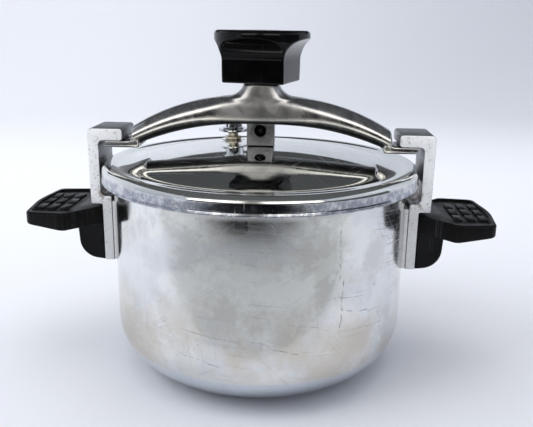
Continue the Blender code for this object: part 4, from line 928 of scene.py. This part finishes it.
def handle(sign, name):
    """Moulded grip: rounded edges, a tapering underside, a ribbed panel and a lobe."""
    top = HANDLE_HIGH.z
    inner = HANDLE_LOW.x
    low = HANDLE_LOW.z
    middle = top - GRIP_T_ROOT / 2
    grip = slab(name, grip_outline(), GRIP_T_ROOT / 2, 0.0011, "XY", middle)
    for vertex in grip.data.vertices:
        if vertex.co.z < middle:
            along = max(0.0, vertex.co.x - inner - GRIP_SLOPE_X) / (HANDLE_LENGTH - GRIP_SLOPE_X)
            vertex.co.z += (GRIP_T_ROOT - GRIP_T_TIP) * along
    out = inner + LOBE_REACH
    lobe = [(inner, top - LOBE_DROP, 0.0), (inner, low, 0.0), (out - LOBE_LEAN, low + LOBE_LEAN, 0.015),
            (out, top - LOBE_DROP, 0.0)]
    carve(grip, slab("lobe", rounded(lobe, 12), HALF_BRACKET, 0.0009, "XZ"), "UNION")
    panel = slab("panel", grip_outline(PANEL_RIM, PANEL_START), PANEL_DEPTH, 0.0002, "XY", top)
    for row in range(PAD_COUNT):
        for column in range(PAD_COUNT):
            x = inner + PANEL_START + PAD_FIRST + PAD_PITCH[0] * row
            y = (column - 1) * PAD_PITCH[1]
            near = (x, y - PAD_HALF_W, top - CUT_OVER)
            far = (x + PAD_LENGTH, y + PAD_HALF_W, top - PAD_SINK)
            carve(panel, block("rib", near, far))
    carve(grip, panel)
    soften(grip, 0.00035, 2, 40)
    seat = inner + HANDLE_SCREW_SEAT
    drill(grip, HANDLE_SCREW_WELL_R, (seat, 0.0, SCREW_HOLE_Z), (inner + 0.05, 0.0, SCREW_HOLE_Z))
    drill(grip, RIVET_HOLE_R, (inner - CUT_OVER, 0.0, SCREW_HOLE_Z), (inner + CUT_OVER, 0.0, SCREW_HOLE_Z))
    return grip if sign > 0 else turned_half(grip)


# ---------------------------------------------------------------- yoke
def oval(half_a, half_b, squareness, count):
    """Points round a superellipse, widest along the first axis."""
    points = []
    for k in range(count):
        angle = math.tau * (k + 0.5) / count
        c, s = math.cos(angle), math.sin(angle)
        points.append((half_a * math.copysign(abs(c) ** (2 / squareness), c),
                       half_b * math.copysign(abs(s) ** (2 / squareness), s)))
    return points


def yoke():
    """Cast yoke: two arched arms blended into a flared neck, with tongues and a pocket."""
    neck_top = YOKE_HIGH.z
    top_mid = neck_top - NECK_H
    low_mid = top_mid - YOKE_T_MID
    tongue_low = YOKE_LOW.z
    shoulder_top = tongue_low + SHOULDER_H
    rings = []
    for k in range(73):
        x = -SHOULDER_X + 2 * SHOULDER_X * k / 72
        upper = top_mid - (top_mid - shoulder_top) * (abs(x) / SHOULDER_X) ** ARCH_TOP_POWER
        lower = low_mid - (low_mid - tongue_low) * (abs(x) / SHOULDER_X) ** ARCH_LOW_POWER
        middle = (upper + lower) / 2
        squareness = ARM_SQUARE + MID_SQUARE * math.exp(-(x / MID_REACH) ** 2)
        rings.append([(x, y, middle + z) for y, z in oval(YOKE_W / 2, (upper - lower) / 2, squareness, 56)])
    parts = [loft("arms", rings)]
    depth = NECK_H + NECK_SINK
    reach = math.sqrt(FLARE_R ** 2 - (FLARE_R - depth) ** 2)
    foot = oval(NECK_R + reach + NECK_WEB, YOKE_W / 2, NECK_SQUARE, 64)
    neck = [[(x, y, low_mid + YOKE_T_MID / 2) for x, y in foot]]
    for k in range(25):
        rise = depth * (k / 24) ** 2
        wide = NECK_R + reach - math.sqrt(FLARE_R ** 2 - (FLARE_R - rise) ** 2)
        ring = oval(wide, YOKE_W / 2 - NECK_SIDE, NECK_SQUARE, 64)
        neck.append([(x, y, neck_top - depth + rise) for x, y in ring])
    parts.append(loft("neck", neck))
    tongue_r = YOKE_HIGH.x
    side = YOKE_W / 2 - TONGUE_SIDE
    for sign in (-1, 1):
        ends = sorted((sign * (SHOULDER_X - TONGUE_ROOT), sign * (tongue_r + 0.004)))
        parts.append(block("tongue", (ends[0], -side, tongue_low), (ends[1], side, tongue_low + TONGUE_T),
                           WIDE_EDGE))
    piece = joined("yoke_casting", parts)
    cover = piece.modifiers.new("Skin", "REMESH")
    cover.mode = "VOXEL"
    cover.voxel_size = SKIN_VOXEL
    cover.use_smooth_shade = True
    relax = piece.modifiers.new("Relax", "SMOOTH")
    relax.factor = 0.5
    relax.iterations = 8
    bpy.context.view_layer.update()
    settle(piece, 60)
    far_r = tongue_r + 0.03
    outside = [(tongue_r, 0.25), (far_r, 0.25), (far_r, 0.1), (tongue_r, 0.1)]
    carve(piece, polar("cut", outside, 128, ring=True), angle=40)
    half = POCKET_HALF
    pocket_top = POST_HIGH.z + POCKET_RISE + GAP
    carve(piece, block("cut", (-half, -half, low_mid - 0.02), (half, half, pocket_top)), angle=40)
    drill(piece, BUSH_R + GAP, (0.0, 0.0, pocket_top - 0.005), (0.0, 0.0, neck_top + CUT_OVER), angle=40)
    return piece


# ---------------------------------------------------------------- post, screw and knob
def guide_post():
    """Square guide post with a round window in its front."""
    piece = block("post", POST_LOW, POST_HIGH, 0.0007)
    low, top, front = POST_LOW.z, POST_HIGH.z, -POST_HIGH.x
    drill(piece, SCREW_R + GAP, (0.0, 0.0, SCREW_LOW.z - GAP), (0.0, 0.0, top + CUT_OVER))
    drill(piece, BOLT_HOLE_R, (0.0, 0.0, low - CUT_OVER), (0.0, 0.0, low + BOLT_HOLE_DEPTH))
    outside = (0.0, front - CUT_OVER, POST_WINDOW_Z)
    drill(piece, POST_HOLE_R, outside, (0.0, front + POST_HOLE_DEPTH, POST_WINDOW_Z))
    drill(piece, PIN_HOLE_R, outside, (0.0, -0.004, POST_WINDOW_Z), 32)
    return piece


def threaded_screw():
    """Clamp screw with a cut thread, a groove at its foot and a tapped top."""
    low, top = SCREW_LOW.z, SCREW_HIGH.z
    groove_low = low + GROOVE_RISE
    groove_top = groove_low + GROOVE_H
    thread_low = groove_top + 0.0012
    thread_top = top - 0.026
    core = SCREW_R - GROOVE_DEPTH
    tap_r, tap_z = 0.0028, top - 0.0123
    rows = [(0.0, tap_z), (tap_r, tap_z), (tap_r, top), (SCREW_R - WIDE_EDGE, top),
            (SCREW_R, top - WIDE_EDGE), (SCREW_R, thread_top)]

    def thread(height):
        def row(turn):
            phase = (height / SCREW_PITCH - turn / math.tau) % 1.0
            tooth = min(1.0, max(0.0, 2.2 * abs(phase - 0.5) - 0.05))
            ease = min(1.0, (thread_top - height) / 0.002, (height - thread_low) / 0.001)
            return SCREW_R - THREAD_DEPTH * (1.0 - tooth) * max(0.0, ease), height
        return row

    count = int((thread_top - thread_low) / 0.00030)
    for k in range(1, count):
        rows.append(thread(thread_top - (thread_top - thread_low) * k / count))
    rows += [(SCREW_R, thread_low), (SCREW_R, groove_top + 0.0004), (core, groove_top), (core, groove_low),
             (SCREW_R, groove_low - 0.0002), (SCREW_R, low + 0.0006), (SCREW_R - 0.0006, low), (0.0, low)]
    return polar("screw", rows, 48, angle=50)


def soft_min(a, b, blend):
    """The smaller of two lengths, with their meeting rounded."""
    share = max(blend - abs(a - b), 0.0) / blend
    return min(a, b) - share * share * blend / 4


def knob():
    """Moulded knob: four scoops leave a square lower part under a round top."""
    low, top = KNOB_LOW.z, KNOB_HIGH.z
    start_z = low + KNOB_SCOOP_H
    rise = top - KNOB_RIM_H - start_z
    run = KNOB_R + 0.0005 - KNOB_FLAT
    sweep_r = (run ** 2 + rise ** 2) / (2 * run)
    band_z = top - KNOB_RIM_H - KNOB_BAND
    crown_z = top - KNOB_CROWN_H
    foot_z = low + KNOB_FOOT_EDGE

    def flat(height):
        up = min(max(height - start_z, 0.0), rise)
        reach = KNOB_FLAT + sweep_r - math.sqrt(sweep_r ** 2 - up ** 2)
        over = max(height - start_z - rise, 0.0)
        return reach + over * 3.0

    def round_part(height):
        share = min(1.0, (band_z - height) / (band_z - low))
        return KNOB_R - (KNOB_R - KNOB_R_LOW) * max(0.0, share)

    def edge_inset(height):
        inset = 0.0
        for past, length, depth in ((height - crown_z, KNOB_CROWN_H, KNOB_CROWN_IN),
                                    (foot_z - height, KNOB_FOOT_EDGE, KNOB_FOOT_EDGE)):
            if past > 0.0:
                inset = depth * (1.0 - math.sqrt(max(0.0, 1.0 - (past / length) ** 2)))
        return inset

    def side_row(height):
        def row(turn):
            around = (turn - KNOB_TURN + math.pi / 4) % (math.pi / 2) - math.pi / 4
            face = flat(height) / math.cos(around)
            return soft_min(round_part(height), face, 0.0016) - edge_inset(height), height
        return row

    well = CAP_R + GAP
    well_z = top - CAP_WELL
    rows = [(KNOB_BORE_R, low), (KNOB_BORE_R, well_z), (well, well_z), (well, top - 0.0004)]
    rows.append((well + 0.0004, top))
    rows += [(r, top) for r in (0.018, 0.024, 0.029)]
    heights = [crown_z + KNOB_CROWN_H * math.cos(math.radians(a)) for a in range(0, 91, 9)]
    heights += [crown_z - (crown_z - foot_z) * k / 64 for k in range(1, 65)]
    heights += [foot_z - KNOB_FOOT_EDGE * math.sin(math.radians(a)) for a in range(15, 91, 15)]
    rows += [side_row(height) for height in heights]
    rows += [(0.018, low), (0.013, low)]
    return polar("knob_grip", rows, 320, ring=True, angle=50)


def knob_cap():
    """Plain cap over the knob's well, very slightly domed."""
    top = KNOB_HIGH.z - CAP_SINK
    falls = ((0.0, 0.0), (0.004, 0.00002), (0.008, 0.0001), (0.0105, 0.0002), (0.0115, 0.0004),
             (0.0119, 0.0008), (CAP_R, 0.0012), (CAP_R, CAP_T), (0.0, CAP_T))
    return polar("cap", [(radius, top - fall) for radius, fall in falls], 96)


# ---------------------------------------------------------------- valves
def hexagon(name, flats, low, high, centre, bevel):
    """A hexagonal block with rounded edges on a vertical axis."""
    reach = flats / math.sqrt(3)
    outline = arc(centre, (reach, reach), 0, 300, 5)
    work = bmesh.new()
    floor = [work.verts.new((x, y, low)) for x, y in outline]
    roof = [work.verts.new((x, y, high)) for x, y in outline]
    work.faces.new(floor)
    work.faces.new(roof)
    for k in range(6):
        n = (k + 1) % 6
        work.faces.new((floor[k], floor[n], roof[n], roof[k]))
    bmesh.ops.bevel(work, geom=list(work.edges), offset=bevel, segments=3, profile=0.5, affect="EDGES",
                    clamp_overlap=True)
    return finish(name, work)


def vent_stem():
    """Brass vent stem with its hexagonal collar."""
    low, high = (corner.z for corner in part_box("valve_stem"))
    seat = seat_top(VALVE_SPOT) + GAP
    piece = hexagon("vent_stem", COLLAR_AF, seat, seat + COLLAR_T, VALVE_SPOT, 0.0003)
    corners = [(0.0, high, 0.0), (STEM_TIP_R, high, 0.0005), (STEM_R, high - 0.004, 0.0008),
               (STEM_R, low, 0.0003), (0.0, low, 0.0)]
    carve(piece, spun("spindle", corners, 48, VALVE_SPOT), "UNION")
    x, y = VALVE_SPOT
    drill(piece, VALVE_BORE_R, (x, y, low - CUT_OVER), (x, y, high + CUT_OVER), 32)
    return piece


def vent_weight():
    """Chromed weight with a flange, a waist and a hollow for the stem."""
    base, top = (corner.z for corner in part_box("valve_weight"))
    flange = base + WEIGHT_FLANGE_T
    roof = base - WEIGHT_DROP + STEM_H + GAP
    crown = [(0.0, top, 0.0), (0.0065, top, 0.0008), (WEIGHT_R, top - 0.002, 0.0008),
             (WEIGHT_R, top - 0.0065, 0.0006)]
    waist = [(WEIGHT_WAIST_R, top - 0.008, 0.0008), (WEIGHT_WAIST_R, flange + 0.001, 0.0006),
             (0.0085, flange, 0.0004)]
    foot = [(WEIGHT_FLANGE_R, flange, 0.0006), (0.0114, base, 0.0004), (WEIGHT_BORE_R, base, 0.0003),
            (WEIGHT_BORE_R, roof - 0.003, 0.0), (0.0028, roof, 0.0), (0.0, roof, 0.0)]
    return spun("vent_weight", crown + waist + foot, 96, VALVE_SPOT, fine=4)


def safety_pieces():
    """The safety valve's hexagonal body, screwed cap and plunger."""
    low, high = (corner.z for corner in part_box("safety_valve_body"))
    seat = seat_top(SAFETY_SPOT) + GAP
    x, y = SAFETY_SPOT
    body = hexagon("relief_body", SAFETY_AF, seat, seat + SAFETY_BASE_T, SAFETY_SPOT, 0.0004)
    corners = [(0.0, high, 0.0), (SAFETY_R, high, 0.0003), (SAFETY_R, low, 0.0003), (0.0, low, 0.0)]
    carve(body, spun("barrel", corners, 48, SAFETY_SPOT), "UNION")
    drill(body, SAFETY_CAVITY_R, (x, y, seat + SAFETY_FLOOR), (x, y, high + CUT_OVER), 40)
    drill(body, SAFETY_INLET_R, (x, y, low - CUT_OVER), (x, y, high), 24)
    cap_low, cap_top = (corner.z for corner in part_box("safety_valve_cap"))
    inner, hole = SAFETY_R + GAP, PLUNGER_R + PLUNGER_PLAY
    corners = [(hole, cap_top, 0.0002), (SAFETY_CAP_R, cap_top, 0.0011), (SAFETY_CAP_R, cap_low, 0.0003),
               (inner, cap_low, 0.0), (inner, high + GAP, 0.0), (hole, high + GAP, 0.0)]
    cap = spun("relief_cap", corners, 64, SAFETY_SPOT, ring=True, fine=4)
    pin_low, pin_top = (corner.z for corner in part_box("safety_valve_plunger"))
    disc_top = pin_low + PLUNGER_DISC_T
    disc_r = SAFETY_CAVITY_R - DISC_PLAY
    corners = [(0.0, pin_top, 0.0), (PLUNGER_R, pin_top, 0.0008), (PLUNGER_R, disc_top, 0.0),
               (disc_r, disc_top, 0.0), (disc_r, pin_low, 0.0), (0.0, pin_low, 0.0)]
    plunger = spun("relief_plunger", corners, 40, SAFETY_SPOT, fine=4)
    return body, cap, plunger


# ---------------------------------------------------------------- studio
ROOM = 1.3
BACK = 1.6
CEILING = 1.6
STRIP_LOW = 0.30
STRIP_TOP = 1.45
LIGHTS = (("window", (-ROOM, -0.5, 1.3), (-0.05, 0.1, 0.05), 1.2, 14.0, (0.98, 0.99, 1.0)),
          ("ceiling", (0.2, -0.1, 1.9), (0.0, 0.0, 0.0), 1.4, 9.0, (1.0, 0.98, 0.95)))
DARK_CARDS = (("dark_front", (-ROOM, -ROOM, 0.01), (ROOM, -ROOM, STRIP_LOW), 0.035),
              ("dark_right", (ROOM, -ROOM, 0.03), (ROOM, 0.2, 0.50), 0.12),
              ("dark_above", (-BACK, -ROOM, CEILING), (BACK, BACK, CEILING), 0.12),
              ("dark_back", (-BACK, BACK, 0.66), (BACK, BACK, CEILING), 0.08))


def glow(name, low, high, colour, strength):
    """A flat card between two corners, which only polished metal sees: strength(g) gives its light."""
    across, along = [i for i in range(3) if low[i] != high[i]]
    work = bmesh.new()
    corners = []
    for far_across, far_along in ((False, False), (True, False), (True, True), (False, True)):
        corner = Vector(low)
        corner[across] = high[across] if far_across else low[across]
        corner[along] = high[along] if far_along else low[along]
        corners.append(work.verts.new(corner))
    work.faces.new(corners)
    card = unchecked(name, work)
    g = Graph(name, 1.0, 0.0)
    lamp = g.add("ShaderNodeEmission")
    g.feed(lamp.inputs["Color"], colour)
    g.feed(lamp.inputs["Strength"], strength(g))
    out = g.tree.nodes["Material Output"]
    g.tree.links.new(lamp.outputs[0], out.inputs["Surface"])
    card.data.materials.append(g.material)
    for ray in ("camera", "diffuse", "shadow", "transmission"):
        setattr(card, "visible_" + ray, False)


def floor_glow(g):
    """The floor in front as metal sees it: even near the pot, paler at its sides, dark past its edge."""
    x = g.size(g.axis(0))
    y = g.axis(1)
    near = g.step(y, -0.52, -0.48, 0.0, 0.50)
    near = g.plus(near, g.step(y, -0.50, -0.22, 0.0, 0.12))
    side = g.step(x, 0.30, 0.50)
    return g.plus(g.times(near, g.minus(1.0, side)), g.times(side, 0.80))


def strip_glow(g):
    """Soft light high in front, stronger towards both sides and fading above and below."""
    up = g.axis(2)
    fade = g.times(g.step(up, STRIP_LOW, 0.46), g.step(up, 1.35, 0.90))
    across = g.step(g.size(g.plus(g.axis(0), 0.04)), 0.04, 0.34, 0.30, 2.7)
    return g.plus(g.times(fade, across), 0.06)


def backdrop():
    """A pale floor that sweeps up into a wall all round, with painted shade: darker towards the front and
    towards the back right.
    """
    rows = [(0.1 * k, 0.0) for k in range(16)]
    rows += arc((1.6, 1.0), (1.0, 1.0), -90, 0, 24)
    rows += [(2.6, 1.5), (2.6, 2.2)]
    sweep = polar("studio_floor", rows, 96)
    g = Graph("floor_white", 0.9, 0.0)
    x = g.axis(0)
    y = g.axis(1)
    # Painted shade: the floor is darker towards the front, by the camera, and the wall darker towards the
    # right, for the uneven light of the room.
    colour = g.mix(g.step(y, -0.4, 0.9), (0.72, 0.735, 0.77), (0.96, 0.97, 1.0))
    across = g.step(x, -0.9, 1.2)
    colour = g.mix(g.times(across, g.step(y, 0.5, 2.2)), colour, (0.66, 0.675, 0.715))
    sweep.data.materials.append(g.done(colour))


def area_light(name, centre, aim, width, power, colour):
    """A large soft square light, which polished metal doesn't see."""
    data = bpy.data.lights.new(name, "AREA")
    data.shape = "RECTANGLE"
    data.size = width
    data.size_y = width
    data.energy = power
    data.color = colour
    light = placed(name, data)
    light.location = centre
    light.rotation_mode = "QUATERNION"
    light.rotation_quaternion = (Vector(aim) - Vector(centre)).to_track_quat("-Z", "Y")
    light.visible_glossy = False


def studio():
    """World light, soft lights and the cards that the polished metal reflects."""
    world = bpy.data.worlds.new("studio_air")
    world.use_nodes = True
    air = world.node_tree.nodes["Background"]
    air.inputs["Color"].default_value = (0.92, 0.945, 1.0, 1.0)
    air.inputs["Strength"].default_value = 0.85
    bpy.context.scene.world = world
    for light in LIGHTS:
        area_light(*light)
    glow("floor_card", (-0.6, -1.4, 0.003), (0.6, -0.2, 0.003), (0.93, 0.96, 1.0), floor_glow)
    glow("warm_strip", (-ROOM, -ROOM, STRIP_LOW), (ROOM, -ROOM, STRIP_TOP), (1.0, 0.965, 0.91), strip_glow)
    for name, low, high, strength in DARK_CARDS:
        glow(name, low, high, (0.9, 0.95, 1.0), lambda g: strength)


def camera():
    """The camera, at the viewing angle of a seated person a little right of the middle."""
    data = bpy.data.cameras.new("view")
    data.lens = CAMERA_LENS
    data.sensor_width = 36.0
    data.clip_start = 0.01
    data.clip_end = 50.0
    pitch, yaw, roll = (math.radians(a) for a in (CAMERA_PITCH, CAMERA_YAW, CAMERA_ROLL))
    forward = Vector((math.cos(pitch) * math.sin(yaw), math.cos(pitch) * math.cos(yaw), -math.sin(pitch)))
    level = Vector((math.cos(yaw), -math.sin(yaw), 0.0))
    upright = level.cross(forward)
    right = level * math.cos(roll) + upright * math.sin(roll)
    up = upright * math.cos(roll) - level * math.sin(roll)
    view = placed("view", data)
    view.matrix_world = Matrix.Translation(CAMERA_PLACE) @ Matrix((right, up, -forward)).transposed().to_4x4()
    bpy.context.scene.camera = view


# ---------------------------------------------------------------- the whole model
def build():
    """Make every detailed piece and give the remaining CAD nodes their materials."""
    pot_skin = pot_metal()
    lid_skin = lid_metal()
    cast = cast_metal()
    extruded = bracket_metal()
    knob_black = bakelite("knob_bakelite", 0.05, 0.10, 0.003, 0.10, 0.20)
    grip_black = bakelite("handle_bakelite", 0.28, 0.42, 0.003, 0.35, 0.16)
    post_steel = post_metal()
    black_steel = plain_metal("black_steel", (0.010, 0.010, 0.011), (0.022, 0.022, 0.023), 0.5, 0.6)
    screw_steel = plain_metal("screw_steel", (0.34, 0.34, 0.35), (0.48, 0.48, 0.49), 0.22, 0.36)
    chrome = plain_metal("chrome_plate", (0.74, 0.75, 0.78), (0.84, 0.85, 0.88), 0.04, 0.10)
    brass = plain_metal("brass", (0.46, 0.42, 0.34), (0.62, 0.57, 0.47), 0.24, 0.34, size=60.0)
    rivet = plain_metal("rivet_aluminium", (0.62, 0.62, 0.63), (0.76, 0.76, 0.77), 0.3, 0.42)
    wire = plain_metal("spring_steel", (0.28, 0.28, 0.29), (0.40, 0.40, 0.41), 0.25, 0.4)
    black_rubber = rubber()

    dress(pot(), pot_skin, "pot", "polished_aluminium", "pot_body")
    dress(lid(), lid_skin, "lid", "polished_aluminium", "lid")
    for side, sign in SIDES:
        dress(bracket(sign, f"{side}_hook"), extruded, "pot", "mill_aluminium", f"{side}_bracket")
        dress(handle(sign, f"{side}_grip"), grip_black, "pot", "handle_bakelite", f"{side}_handle")
    dress(yoke(), cast, "yoke", "cast_aluminium", "yoke")
    dress(guide_post(), post_steel, "lid", "dark_steel", "guide_post")
    dress(threaded_screw(), screw_steel, "clamp_screw", "screw_steel", "clamp_screw")
    dress(knob(), knob_black, "clamp_screw", "knob_bakelite", "knob")
    dress(knob_cap(), knob_black, "clamp_screw", "knob_bakelite", "knob_cap")
    dress(vent_stem(), brass, "lid", "brass", "valve_stem")
    dress(vent_weight(), chrome, "valve_weight", "chrome_plate", "valve_weight")
    body, cap, plunger = safety_pieces()
    dress(body, brass, "lid", "brass", "safety_valve_body")
    dress(cap, brass, "lid", "brass", "safety_valve_cap")
    dress(plunger, screw_steel, "safety_plunger", "screw_steel", "safety_valve_plunger")

    keep = {"gasket": black_rubber, "valve_seal": black_rubber, "safety_valve_seal": black_rubber,
            "post_washer": black_rubber, "valve_nut": brass, "safety_valve_nut": brass, "knob_insert": brass,
            "thread_bush": screw_steel, "retaining_pin": black_steel, "post_bolt": screw_steel,
            "knob_fixing_screw": screw_steel, "safety_valve_spring": wire}
    for side, sign in SIDES:
        keep[f"{side}_bracket_pad"] = extruded
        keep[f"{side}_handle_screw"] = screw_steel
        for spot in ("front", "rear", "lower"):
            keep[f"{side}_{spot}_rivet"] = rivet
    for node, material in keep.items():
        skin(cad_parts[node], material)


build()
backdrop()
studio()
camera()
bpy.context.scene.view_settings.view_transform = "Standard"
bpy.context.scene.view_settings.look = "None"
